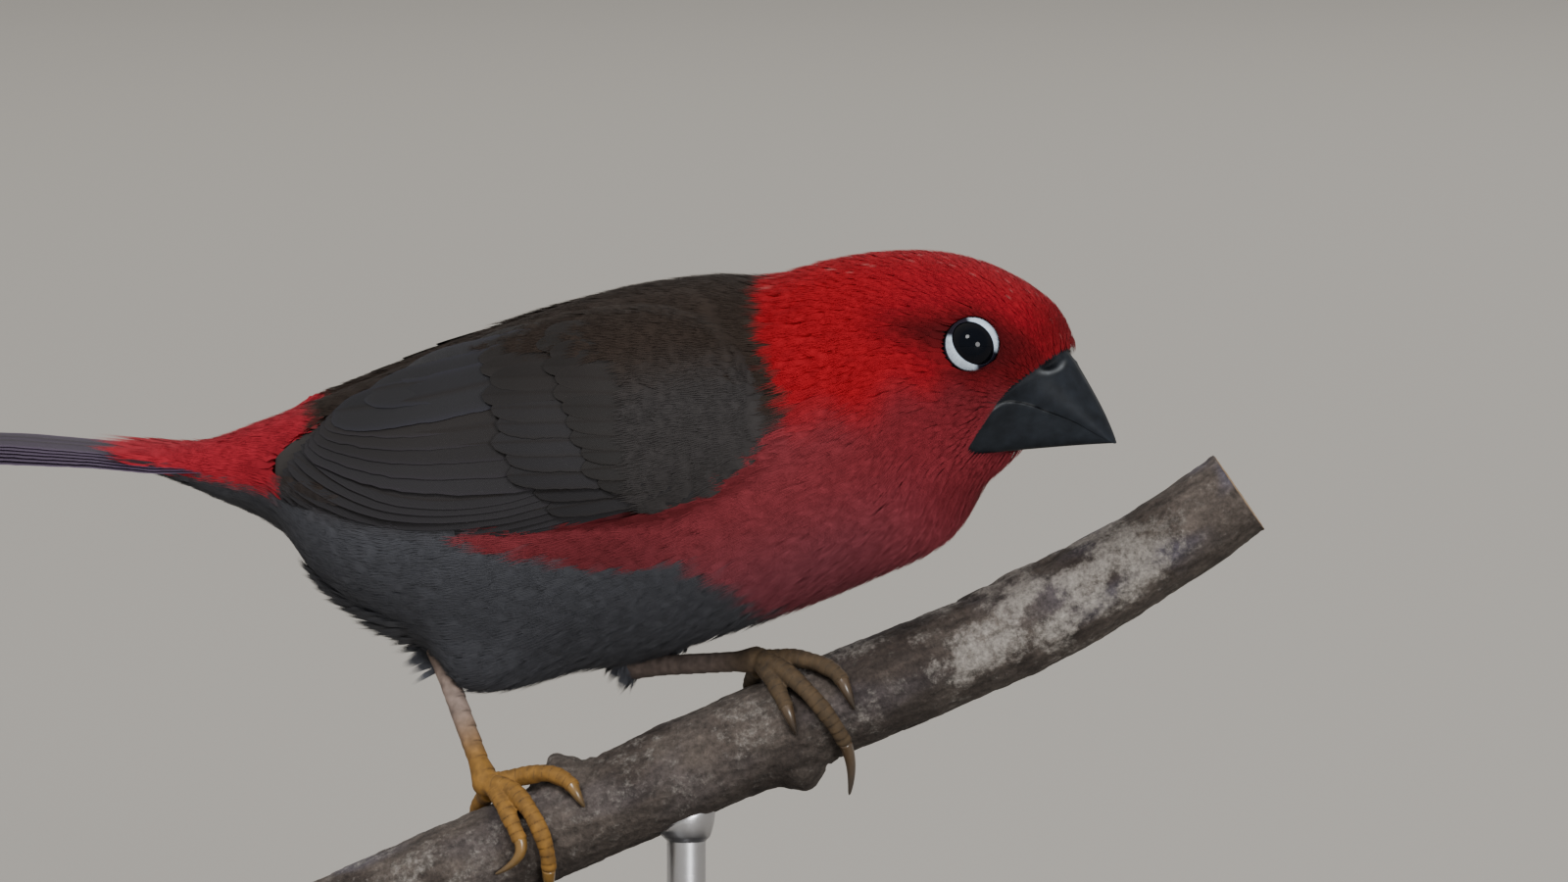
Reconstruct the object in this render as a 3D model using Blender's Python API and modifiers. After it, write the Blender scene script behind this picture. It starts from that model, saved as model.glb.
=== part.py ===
"""A life-size crimson seedcracker gripping a cut length of branch, held by a plain display stand.

For Blender 4.5, in metres, +Z up. The origin is the middle of the stand's underside. The bird faces +X and is turned a
little towards -Y. Sizes here are in millimetres and become metres where a mesh is made. The bird's own axes are x
forwards, y to its left and z up, from a point in the middle of its trunk.
"""

import math

import bmesh
import bpy
from mathutils import Matrix, Vector

MM = 0.001
GAP = 0.4

# How the bird stands over the branch
BIRD_PLACE = (-9.0, 5.0, 65.0)
BIRD_YAW = math.radians(16)
BIRD_ROLL = math.radians(5)
BIRD_PITCH = math.radians(1.4)
HEAD_TURN = math.radians(8)
TURN_PIVOT_X = 18.0
TURN_FROM, TURN_TO = 6.2, 8.6

# The body's outline: dorsal x and z, ventral x and z, half width, and how far the widest line lies below the middle
BODY_STATIONS = (
    (-41.0, 4.2, -41.0, -1.6, 4.6, 0.0),
    (-33.0, 6.9, -32.2, -5.7, 7.6, 0.0),
    (-26.0, 9.4, -27.0, -12.2, 11.4, 0.5),
    (-17.0, 12.8, -18.0, -17.4, 14.6, 1.0),
    (-6.0, 16.8, -6.0, -19.6, 16.2, 1.0),
    (4.0, 19.8, 6.0, -18.4, 16.4, 1.0),
    (13.0, 21.1, 17.5, -15.2, 15.6, 1.0),
    (20.2, 21.2, 29.6, -10.6, 14.0, 1.0),
    (26.6, 22.8, 38.3, -6.4, 12.0, 1.0),
    (33.0, 23.8, 42.7, -0.9, 10.6, 1.2),
    (39.4, 23.8, 45.4, 1.3, 9.6, 1.4),
    (45.4, 22.1, 46.6, 3.5, 8.7, 1.0),
    (50.5, 18.7, 47.4, 4.8, 7.4, 0.6),
    (52.6, 14.4, 48.0, 5.6, 5.6, 0.0),
)
TRUNK_END, NECK_END, HEAD_END = 6.9, 9.0, 13.0
BODY_SIDES = 28

# Folded wings: station, angle from the spine of the upper edge and of the lower edge, thickness
WING_SHOULDER = (
    (7.05, 66, 78, 0.9),
    (6.85, 52, 87, 1.4),
    (6.4, 40, 93, 1.8),
    (5.8, 31, 96, 2.0),
)
WING_NEAR = WING_SHOULDER + (
    (5.0, 25, 93, 2.0),
    (4.0, 20, 88, 1.9),
    (3.0, 23, 82, 1.7),
    (2.1, 36, 80, 1.4),
    (1.6, 48, 84, 1.1),
    (1.25, 62, 89, 0.8),
)
WING_FAR = WING_SHOULDER + (
    (5.0, 25, 94, 2.0),
    (4.0, 18, 91, 1.9),
    (3.0, 13, 86, 1.7),
    (2.1, 14, 74, 1.4),
    (1.6, 15, 58, 1.1),
    (1.2, 18, 38, 0.8),
)
WING_EDGE = 0.5

# Tail: x, z, half width, half thickness, and how far its sides droop
TAIL_STATIONS = (
    (-41.5, 1.5, 4.5, 2.8, 0.0),
    (-46.0, 2.2, 5.2, 1.6, 0.2),
    (-52.0, 3.0, 6.0, 0.9, 0.5),
    (-62.0, 3.8, 7.2, 0.7, 0.6),
    (-72.0, 4.0, 8.0, 0.65, 0.6),
    (-77.5, 4.0, 7.2, 0.55, 0.5),
    (-80.5, 4.0, 5.0, 0.5, 0.3),
)

# Head: the bill meets the feathers along three points of its side, brow, gape and chin, in the bird's x and z
BILL_BROW = (52.3, 14.4)
BILL_GAPE = (46.4, 8.4)
BILL_CHIN = (43.6, 3.9)
BILL_TIP = (57.4, 4.6)
BILL_HALF_WIDTH = 6.0
CULMEN_BULGE = 0.2
TOMIUM_RISE = 2.3
EYE_PLACE = (45.2, 6.3, 15.3)
EYE_RADIUS = 2.9

# Branch: axis points in the scene's x and z, and its radius at each
BRANCH_AXIS = (
    (-40.5, 17.2, 4.9),
    (-22.0, 25.3, 5.0),
    (-9.0, 31.0, 4.9),
    (1.0, 35.6, 5.2),
    (16.0, 42.2, 5.1),
    (31.0, 48.4, 5.0),
    (41.0, 53.4, 4.9),
    (51.0, 59.5, 4.6),
    (57.5, 64.0, 4.6),
)
BRANCH_SIDES = 16
BRANCH_RING_EVERY = 3.2
# Knots: distance along the branch, angle round it from the top towards -Y, height, length and spread in degrees
BRANCH_KNOTS = (
    (33.3, -15, 2.3, 2.2, 40),
    (56.4, 172, 1.9, 2.0, 36),
    (84.0, -60, 0.9, 4.0, 60),
)

# Legs: heel and foot in the scene, in x, y and z, and the foot's place along the branch
RIGHT_HEEL, RIGHT_FOOT = (-25.0, 7.0, 48.2), (-19.4, -1.0, 34.2)
LEFT_HEEL, LEFT_FOOT = (-5.4, 10.0, 45.0), (8.3, -1.0, 46.9)
RIGHT_KNEE, LEFT_KNEE = (-16.5, 1.0, 46.6), (0.0, 12.0, 52.5)
THIGH_RADIUS = 4.6
SHANK_RADIUS = 1.1
PALM_RADIUS = 1.45
TOE_RADIUS = 0.85
# Toes: where the toe ends along the branch from the foot, the angle round the branch there, how far it bows forwards
# on the way, then the reach and angle of the claw's tip, and how far that tip stands off the bark
RIGHT_TOES = {
    "inner": (8.4, 56, 0.0, 8.6, 76, 0.0),
    "middle": (2.0, 124, 1.5, 1.2, 170, 0.0),
    "outer": (0.7, 84, 0.0, -3.0, 104, 0.0),
    "back": (-3.6, -86, 0.0, -4.6, -134, 0.0),
}
LEFT_TOES = {
    "inner": (0.9, 72, 0.0, 0.6, 98, 0.0),
    "middle": (4.8, 128, 0.0, 3.0, 158, 3.9),
    "outer": (7.0, 70, 0.0, 7.0, 98, 0.0),
    "back": (-2.6, -90, 0.0, -3.4, -138, 0.0),
}
RIGHT_FOOT_ALONG, LEFT_FOOT_ALONG = 26.0, 56.8

# Stand
BASE_LENGTH, BASE_WIDTH, BASE_THICK = 94.0, 62.0, 6.0
BASE_BEVEL = 1.2
BASE_SIDES = 48
ROD_X, ROD_RADIUS = 1.0, 2.0

RED = (0.50, 0.018, 0.020)
BROWN = (0.036, 0.028, 0.024)
HORN = (0.022, 0.026, 0.032)
YELLOW = (0.42, 0.20, 0.045)
CLAW = (0.20, 0.12, 0.05)
DARK_EYE = (0.010, 0.008, 0.010)
BARK = (0.16, 0.13, 0.115)
BLACK = (0.02, 0.02, 0.022)
STEEL = (0.45, 0.45, 0.47)


def curve_through(rows, at):
    """The row at a fractional index, on a smooth curve through all the rows."""
    first = min(max(int(math.floor(at)), 0), len(rows) - 2)
    t = at - first
    a, b, c, d = (rows[min(max(first + k, 0), len(rows) - 1)] for k in (-1, 0, 1, 2))
    return tuple(
        q + 0.5 * t * (r - p + t * (2 * p - 5 * q + 4 * r - s + t * (3 * (q - r) + s - p)))
        for p, q, r, s in zip(a, b, c, d)
    )


def smooth(low, high, value):
    t = min(max((value - low) / (high - low), 0.0), 1.0)
    return t * t * (3 - 2 * t)


def turned(point, share=1.0):
    """A point of the head after the head's turn, in the bird's axes."""
    pivot = Vector((TURN_PIVOT_X, 0, 0))
    return pivot + Matrix.Rotation(-HEAD_TURN * share, 3, "Z") @ (Vector(point) - pivot)


def body_point(station, degrees, lift=0.0):
    """A point of the feathered body: degrees run from the spine down the left side, and lift stands it off."""
    top_x, top_z, low_x, low_z, half_width, sag = curve_through(BODY_STATIONS, station)
    angle = math.radians(degrees)
    rise = Vector((top_x - low_x, 0, top_z - low_z)) / 2
    up = rise.normalized()
    middle = Vector(((top_x + low_x) / 2, 0, (top_z + low_z) / 2))
    sideways, upwards = math.sin(angle), math.cos(angle)
    point = middle + rise * upwards + Vector((0, half_width * sideways, 0)) - up * sag * sideways**2
    out = (up * (upwards / rise.length) + Vector((0, sideways / half_width, 0))).normalized()
    return turned(point + out * lift, smooth(TURN_FROM, TURN_TO, station))


def body_ring(station, lift=0.0):
    return [body_point(station, 360 * k / BODY_SIDES, lift) for k in range(BODY_SIDES)]


def branch_lengths():
    """The distance along the branch at each of its axis points."""
    lengths = [0.0]
    for a, b in zip(BRANCH_AXIS, BRANCH_AXIS[1:]):
        lengths.append(lengths[-1] + math.hypot(b[0] - a[0], b[1] - a[1]))
    return lengths


def branch_at(along):
    """Centre, direction, upward normal and radius of the branch at a distance along it."""
    lengths = branch_lengths()
    last = len(lengths) - 2
    i = max(k for k in range(last + 1) if lengths[k] <= max(along, 0.0))
    at = i + (along - lengths[i]) / (lengths[i + 1] - lengths[i])
    x, z, radius = curve_through(BRANCH_AXIS, at)
    ahead_x, ahead_z, _ = curve_through(BRANCH_AXIS, at + 0.02)
    forward = Vector((ahead_x - x, 0, ahead_z - z)).normalized()
    return Vector((x, 0, z)), forward, Vector((-forward.z, 0, forward.x)), radius


def knots_at(along, degrees):
    """How far the bark stands out there over the branch's plain radius."""
    height = 0.0
    for knot_along, knot_degrees, rise, length, spread in BRANCH_KNOTS:
        apart = (degrees - knot_degrees + 180) % 360 - 180
        height += rise * math.exp(-(((along - knot_along) / length) ** 2) - (apart / spread) ** 2)
    return height


def branch_point(along, degrees, lift=0.0):
    """A point on the bark: degrees run round it from the top towards -Y."""
    centre, _, normal, radius = branch_at(along)
    out = radius + knots_at(along, degrees) + lift
    angle = math.radians(degrees)
    return centre + normal * (out * math.cos(angle)) + Vector((0, -out * math.sin(angle), 0))


def material(name, colour, roughness, metallic=0.0):
    made = bpy.data.materials.new(name)
    made.use_nodes = True
    shader = made.node_tree.nodes["Principled BSDF"]
    shader.inputs["Base Color"].default_value = (*colour, 1)
    shader.inputs["Roughness"].default_value = roughness
    shader.inputs["Metallic"].default_value = metallic
    made.diffuse_color = (*colour, 1)
    return made


def add_object(name, mesh, finish, collection, parent=None):
    if finish:
        mesh.materials.append(finish)
    made = bpy.data.objects.new(name, mesh)
    collection.objects.link(made)
    made.parent = parent
    return made


def loft(name, rings, finish, collection, parent=None):
    """A closed solid through unlike rings of equally many points."""
    shape = bmesh.new()
    loops = [[shape.verts.new(point * MM) for point in ring] for ring in rings]
    for near, far in zip(loops, loops[1:]):
        for k in range(len(near)):
            after = (k + 1) % len(near)
            shape.faces.new((near[k], near[after], far[after], far[k]))
    shape.faces.new(loops[0][::-1])
    shape.faces.new(loops[-1])
    bmesh.ops.recalc_face_normals(shape, faces=shape.faces)
    mesh = bpy.data.meshes.new(name)
    shape.to_mesh(mesh)
    shape.free()
    made = add_object(name, mesh, finish, collection, parent)
    mesh.shade_smooth()
    mesh.set_sharp_from_angle(angle=math.radians(50))
    return made


def sphere(name, centre, radius, finish, collection, parent=None, segments=20):
    shape = bmesh.new()
    bmesh.ops.create_uvsphere(shape, u_segments=segments, v_segments=segments // 2, radius=radius * MM)
    mesh = bpy.data.meshes.new(name)
    shape.to_mesh(mesh)
    shape.free()
    made = add_object(name, mesh, finish, collection, parent)
    made.location = Vector(centre) * MM
    mesh.shade_smooth()
    return made


def tube(name, points, radii, finish, collection, parent=None):
    """A tube through points with a radius at each, as a mesh with welded caps."""
    guide = bpy.data.curves.new(name, "CURVE")
    guide.dimensions = "3D"
    guide.bevel_depth = MM
    guide.bevel_resolution = 2
    guide.use_fill_caps = True
    line = guide.splines.new("POLY")
    line.points.add(len(points) - 1)
    for spot, point, radius in zip(line.points, points, radii):
        spot.co = (*(Vector(point) * MM), 1)
        spot.radius = radius
    helper = bpy.data.objects.new(name, guide)
    collection.objects.link(helper)
    bpy.context.view_layer.update()
    mesh = bpy.data.meshes.new_from_object(helper.evaluated_get(bpy.context.evaluated_depsgraph_get()))
    bpy.data.objects.remove(helper)
    shape = bmesh.new()
    shape.from_mesh(mesh)
    bmesh.ops.remove_doubles(shape, verts=shape.verts, dist=0.00001)
    bmesh.ops.recalc_face_normals(shape, faces=shape.faces)
    shape.to_mesh(mesh)
    shape.free()
    mesh.materials.clear()
    made = add_object(name, mesh, finish, collection, parent)
    mesh.shade_smooth()
    return made


def boolean(target, operation, other):
    step = target.modifiers.new(operation.title(), "BOOLEAN")
    step.operation = operation
    step.object = other


def hide(cutter):
    cutter.hide_render = True
    cutter.display_type = "WIRE"


def stations(start, end, step):
    """Evenly spaced stations from start to end, about a step apart."""
    count = max(1, round((end - start) / step))
    return [start + (end - start) * k / count for k in range(count + 1)]


def make_trunk(finish, parts, bird):
    """Back, breast and belly, with the coverts over the root of the tail."""
    rings = [body_ring(s) for s in stations(0, TRUNK_END - 0.015, 0.36)]
    return loft("trunk", rings, finish, parts, bird)


def make_neck(finish, parts, bird):
    rings = [body_ring(s) for s in stations(TRUNK_END + 0.015, NECK_END - 0.025, 0.35)]
    return loft("neck", rings, finish, parts, bird)


def bill_clearance(cutters, bird):
    """All that lies in front of the line where the feathers meet the bill, above the chin."""
    outline = bpy.data.curves.new("bill_clearance", "CURVE")
    outline.dimensions = "2D"
    outline.fill_mode = "BOTH"
    outline.extrude = 14 * MM
    line = outline.splines.new("POLY")
    brow = (BILL_BROW[0] + 0.6, BILL_BROW[1] + 0.6)
    chin = (BILL_CHIN[0], BILL_CHIN[1] - 0.6)
    chin_front = (BILL_TIP[0] + 5, BILL_CHIN[1] - 0.9)
    corners = (chin, chin_front, (BILL_TIP[0] + 5, brow[1] + 1), (brow[0] + 1, brow[1] + 1), brow, BILL_GAPE)
    line.points.add(len(corners) - 1)
    for spot, (x, z) in zip(line.points, corners):
        spot.co = (x * MM, z * MM, 0, 1)
    line.use_cyclic_u = True
    helper = bpy.data.objects.new("bill_clearance", outline)
    cutters.objects.link(helper)
    bpy.context.view_layer.update()
    mesh = bpy.data.meshes.new_from_object(helper.evaluated_get(bpy.context.evaluated_depsgraph_get()))
    bpy.data.objects.remove(helper)
    pivot = Matrix.Translation((TURN_PIVOT_X * MM, 0, 0))
    turn = pivot @ Matrix.Rotation(-HEAD_TURN, 4, "Z") @ pivot.inverted()
    mesh.transform(turn @ Matrix.Rotation(math.radians(90), 4, "X"))
    shape = bmesh.new()
    shape.from_mesh(mesh)
    bmesh.ops.remove_doubles(shape, verts=shape.verts, dist=0.00001)
    bmesh.ops.recalc_face_normals(shape, faces=shape.faces)
    shape.to_mesh(mesh)
    shape.free()
    cutter = add_object("bill_clearance", mesh, None, cutters, bird)
    hide(cutter)
    return cutter


def make_head(finish, parts, cutters, bird):
    """The feathered head, with a socket for each eye and cut back to seat the bill."""
    rings = [body_ring(s) for s in stations(NECK_END + 0.025, HEAD_END, 0.33)]
    head = loft("head", rings, finish, parts, bird)
    boolean(head, "DIFFERENCE", bill_clearance(cutters, bird))
    for side, word in ((1, "left"), (-1, "right")):
        x, y, z = EYE_PLACE
        socket = sphere(f"socket_{word}", turned((x, y * side, z)), EYE_RADIUS + 0.3, None, cutters, bird)
        hide(socket)
        boolean(head, "DIFFERENCE", socket)
    return head


def make_eyes(finish, parts, bird):
    for side, word in ((1, "left"), (-1, "right")):
        x, y, z = EYE_PLACE
        sphere(f"eye_{word}", turned((x, y * side, z)), EYE_RADIUS, finish, parts, bird)


def bill_taper(share):
    """The bill's half width at a share of the way from the feathers to its tip."""
    return BILL_HALF_WIDTH * (1 - share) ** 0.72 * (1 - 0.18 * share) + 0.3 * share


def between(a, b, share, bulge=0.0):
    """A point on the way from a to b, pushed aside by a bulge that is greatest half way."""
    run = Vector((b[0] - a[0], 0, b[1] - a[1]))
    aside = Vector((-run.z, 0, run.x)).normalized() * (bulge * 4 * share * (1 - share))
    return Vector((a[0], 0, a[1])) + run * share + aside


def bill_half(name, upper, finish, parts, bird):
    """One mandible: an arch of points from one cutting edge over the ridge to the other."""
    edge_points, ridge_points = 6, 11
    rings = []
    for share in [k / 12 for k in range(13)]:
        edge_gap = 0.18 if upper else -0.18
        tomium = between(BILL_GAPE, BILL_TIP, share, TOMIUM_RISE * (1 - share) ** 0.3) + Vector((0.4, 0, edge_gap))
        if upper:
            ridge = between(BILL_BROW, BILL_TIP, share, CULMEN_BULGE) + Vector((0.5, 0, 0.2))
        else:
            ridge = between(BILL_CHIN, BILL_TIP, share, -0.1) + Vector((0.45, 0, -0.05 - 0.4 * share))
        width = bill_taper(share)
        ring = []
        for k in range(ridge_points):
            angle = math.pi * k / (ridge_points - 1)
            rise = math.sin(angle) ** (0.85 if upper else 0.6)
            ring.append(tomium + (ridge - tomium) * rise + Vector((0, width * math.cos(angle), 0)))
        for k in range(1, edge_points):
            across = -1 + 2 * k / edge_points
            ring.append(tomium + Vector((0, width * across, 0)))
        rings.append([turned(point) for point in ring])
    return loft(name, rings, finish, parts, bird)


def make_wing(word, side, rows, finish, parts, bird):
    """A folded wing as a thin shell over the flank, from the bend of the wing to the tip of the longest feathers."""
    across = 8
    rings = []
    for at in stations(0, len(rows) - 1, 0.6):
        station, upper, lower, thick = curve_through(rows, at)
        outer, inner = [], []
        for k in range(across):
            share = k / (across - 1)
            degrees = side * (upper + (lower - upper) * share)
            swell = WING_EDGE + (thick - WING_EDGE) * math.sin(math.pi * share) ** 0.6
            inner.append(body_point(station, degrees, GAP))
            outer.append(body_point(station, degrees, GAP + swell))
        rings.append(outer + inner[::-1])
    return loft(f"wing_{word}", rings, finish, parts, bird)


def make_tail(finish, parts, bird):
    """The closed tail, with its coverts tapering onto a thin arched blade that is rounded at the end."""
    sides = 18
    rings = []
    for at in stations(0, len(TAIL_STATIONS) - 1, 0.5):
        x, z, half_width, half_thick, droop = curve_through(TAIL_STATIONS, at)
        ring = []
        for k in range(sides):
            angle = 2 * math.pi * k / sides
            y = half_width * math.cos(angle)
            lift = half_thick * math.copysign(abs(math.sin(angle)) ** 0.7, math.sin(angle))
            ring.append(Vector((x, y, z + lift - droop * math.cos(angle) ** 2)))
        rings.append(ring)
    return loft("tail", rings, finish, parts, bird)


def make_thigh(word, knee, heel, finish, parts, cutters, trunk):
    """The feathered part of the leg, lying half sunk in a hollow of the flank and ending just above the heel."""
    knee, heel = Vector(knee), Vector(heel)
    back = (knee - heel).normalized()
    end = heel + back * (SHANK_RADIUS * 1.25 + GAP + 1.2)
    shares = [k / 6 for k in range(7)]
    radii = [THIGH_RADIUS * (0.5 + 0.5 * smooth(0, 0.35, p) - 0.7 * smooth(0.3, 1, p)) for p in shares]
    points = [knee.lerp(end, p) for p in shares]
    thigh = tube(f"thigh_{word}", points, radii, finish, parts)
    hollow_points = [knee + back * GAP, knee] + points[1:] + [heel - back * 2.2]
    hollow_radii = [radii[0] + GAP] + [radius + GAP * 1.3 for radius in radii] + [SHANK_RADIUS * 1.25 + GAP * 1.5]
    hollow = tube(f"thigh_hollow_{word}", hollow_points, hollow_radii, None, cutters)
    hide(hollow)
    boolean(trunk, "DIFFERENCE", hollow)
    return thigh


def make_shank(word, heel, foot, finish, parts):
    """The bare shank from the heel down to the palm."""
    heel, foot = Vector(heel), Vector(foot)
    end = foot + (heel - foot).normalized() * (PALM_RADIUS + GAP + 0.1)
    points = [heel.lerp(end, k / 8) for k in range(9)]
    waist = [SHANK_RADIUS * (1.25 - 0.02 * k - 0.33 * math.sin(math.pi * k / 8) ** 0.7) for k in range(9)]
    return tube(f"shank_{word}", points, waist, finish, parts)


def toe_path(along, toe, places):
    """Centres of a toe at each share of its length, lying on the bark, and the bark's distance from each."""
    reach, wrap, bow = toe[:3]
    rise = 1.2 if wrap > 0 else 0.0
    path = []
    for share in places:
        lift = TOE_RADIUS + 0.35 + rise * (1 - share) ** 2
        forwards = reach * math.sin(share * math.pi / 2) + bow * 4 * share * (1 - share)
        path.append(branch_point(along + forwards, wrap * share, lift))
    return path


def make_foot(word, foot, along, toes, finish, parts, cutters):
    """The palm and its four toes, joined in one solid, and a claw on each toe."""
    palm = sphere(f"foot_{word}", foot, PALM_RADIUS, finish, parts, segments=14)
    for toe_name, toe in toes.items():
        places = [k / 6 for k in range(7)]
        start = Vector(foot) if toe[1] > 0 else Vector(foot) - branch_at(along)[2] * 0.9
        path = [start] + toe_path(along, toe, places)[1:]
        # Each toe swells at its joints, a third and two thirds of the way along
        radii = [TOE_RADIUS * (1.16 - 0.3 * p + 0.1 * math.cos(6 * math.pi * p)) for p in places]
        piece = tube(f"toe_{word}_{toe_name}", path, radii, finish, cutters)
        hide(piece)
        boolean(palm, "UNION", piece)
        make_claw(word, toe_name, along, toe, path[-1], path[-1] - path[-2], parts)
    return palm


def make_claw(word, toe_name, along, toe, toe_end, heading, parts):
    """A claw that leaves the toe's end straight on and curves down to its tip on the bark."""
    tip_reach, tip_wrap, stand_off = toe[3:]
    start = toe_end + heading.normalized() * (GAP - 0.05)
    tip = branch_point(along + tip_reach, tip_wrap, stand_off + 0.62)
    middle = start + heading.normalized() * ((tip - start).length * 0.45)
    points, radii = [], []
    for k in range(5):
        share = k / 4
        points.append(start * (1 - share) ** 2 + middle * (2 * share * (1 - share)) + tip * share**2)
        radii.append(0.62 - 0.34 * share)
    return tube(f"claw_{word}_{toe_name}", points, radii, bpy.data.materials["claw"], parts)


def branch_rings(lift, start, end, every):
    """Rings of bark points between two distances along the branch."""
    turns = [360 * k / BRANCH_SIDES for k in range(BRANCH_SIDES)]
    return [[branch_point(along, degrees, lift) for degrees in turns] for along in stations(start, end, every)]


def make_stand(base_finish, rod_finish, parts, cutters):
    """An oval base and one rod, shaped at its top to the underside of the branch."""
    shape = bmesh.new()
    bmesh.ops.create_cone(
        shape, cap_ends=True, segments=BASE_SIDES, radius1=0.5, radius2=0.5, depth=BASE_THICK * MM
    )
    bmesh.ops.scale(shape, vec=(BASE_LENGTH * MM, BASE_WIDTH * MM, 1), verts=shape.verts)
    bmesh.ops.translate(shape, vec=(0, 0, BASE_THICK * MM / 2), verts=shape.verts)
    mesh = bpy.data.meshes.new("stand_base")
    shape.to_mesh(mesh)
    shape.free()
    base = add_object("stand_base", mesh, base_finish, parts)
    bevel = base.modifiers.new("Bevel", "BEVEL")
    bevel.width = BASE_BEVEL * MM
    bevel.segments = 2
    bevel.limit_method = "ANGLE"
    bevel.angle_limit = math.radians(60)

    foot = Vector((ROD_X, 0, BASE_THICK + 0.3))
    top = Vector((ROD_X, 0, 36.0))
    rod = tube("stand_rod", [foot.lerp(top, k / 3) for k in range(4)], [ROD_RADIUS] * 4, rod_finish, parts)
    length = branch_lengths()[-1]
    hollow = loft("branch_clearance", branch_rings(0.3, 0, length, BRANCH_RING_EVERY), None, cutters)
    hide(hollow)
    boolean(rod, "DIFFERENCE", hollow)


def clear_scene():
    for old in list(bpy.data.objects):
        bpy.data.objects.remove(old)


def main():
    clear_scene()
    parts = bpy.data.collections.new("crimson_seedcracker")
    cutters = bpy.data.collections.new("cutters")
    for group in (parts, cutters):
        bpy.context.scene.collection.children.link(group)
    red = material("crimson_plumage", RED, 0.7)
    brown = material("brown_plumage", BROWN, 0.7)
    horn = material("bill_horn", HORN, 0.35)
    scaly = material("leg_scales", YELLOW, 0.5)
    material("claw", CLAW, 0.4)
    eye = material("eye", DARK_EYE, 0.08)
    bark = material("bark", BARK, 0.85)
    black = material("stand_lacquer", BLACK, 0.35)
    steel = material("stand_steel", STEEL, 0.3, 1.0)

    bird = bpy.data.objects.new("bird", None)
    parts.objects.link(bird)
    bird.location = Vector(BIRD_PLACE) * MM
    bird.rotation_euler = (BIRD_ROLL, -BIRD_PITCH, -BIRD_YAW)

    trunk = make_trunk(brown, parts, bird)
    make_neck(red, parts, bird)
    make_head(red, parts, cutters, bird)
    make_eyes(eye, parts, bird)
    bill_half("bill_upper", True, horn, parts, bird)
    bill_half("bill_lower", False, horn, parts, bird)
    make_wing("right", -1, WING_NEAR, brown, parts, bird)
    make_wing("left", 1, WING_FAR, brown, parts, bird)
    make_tail(brown, parts, bird)

    make_thigh("right", RIGHT_KNEE, RIGHT_HEEL, brown, parts, cutters, trunk)
    make_thigh("left", LEFT_KNEE, LEFT_HEEL, brown, parts, cutters, trunk)
    make_shank("right", RIGHT_HEEL, RIGHT_FOOT, scaly, parts)
    make_shank("left", LEFT_HEEL, LEFT_FOOT, scaly, parts)
    make_foot("right", RIGHT_FOOT, RIGHT_FOOT_ALONG, RIGHT_TOES, scaly, parts, cutters)
    make_foot("left", LEFT_FOOT, LEFT_FOOT_ALONG, LEFT_TOES, scaly, parts, cutters)

    length = branch_lengths()[-1]
    loft("perch_branch", branch_rings(0, 0, length, BRANCH_RING_EVERY), bark, parts)
    make_stand(black, steel, parts, cutters)


main()
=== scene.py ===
"""Plumage, bill, eyes, scaly legs, bark and stand of a life-size crimson seedcracker on a cut branch.

Shapes are worked out in millimetres and become metres when a mesh is made. The bird's own axes are x forwards,
y to its left and z up. A place on its body is a station from tail to bill and degrees round it from the spine
down its left side.
"""
import math

import bmesh
import bpy
import numpy as np
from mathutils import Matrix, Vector, kdtree, noise


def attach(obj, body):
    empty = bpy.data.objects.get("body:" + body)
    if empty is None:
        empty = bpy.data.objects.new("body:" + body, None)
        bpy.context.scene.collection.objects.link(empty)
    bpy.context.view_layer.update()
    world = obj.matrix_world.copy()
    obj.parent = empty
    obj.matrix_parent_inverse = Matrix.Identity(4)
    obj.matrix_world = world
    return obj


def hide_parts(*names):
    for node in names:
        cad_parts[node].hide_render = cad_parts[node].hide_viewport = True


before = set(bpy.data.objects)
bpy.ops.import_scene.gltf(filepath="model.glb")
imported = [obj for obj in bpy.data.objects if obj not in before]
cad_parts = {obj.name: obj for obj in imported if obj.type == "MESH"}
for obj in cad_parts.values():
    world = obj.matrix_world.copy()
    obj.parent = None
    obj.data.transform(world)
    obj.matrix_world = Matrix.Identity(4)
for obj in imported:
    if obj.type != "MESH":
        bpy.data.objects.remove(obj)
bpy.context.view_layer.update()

MM = 0.001

# The bird's place over the branch, as in the solids
BIRD_PLACE = np.array((-9.0, 5.0, 65.0))
BIRD_YAW, BIRD_ROLL, BIRD_PITCH, HEAD_TURN = (math.radians(d) for d in (16, 5, 1.4, 8))
# The head turns about an upright line at this x, more and more between two stations of the neck
TURN_X, TURN_STATIONS = 18.0, (6.2, 8.6)
# The skin's first and last station
SKIN_STATIONS = (-0.9, 13.2)

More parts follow.
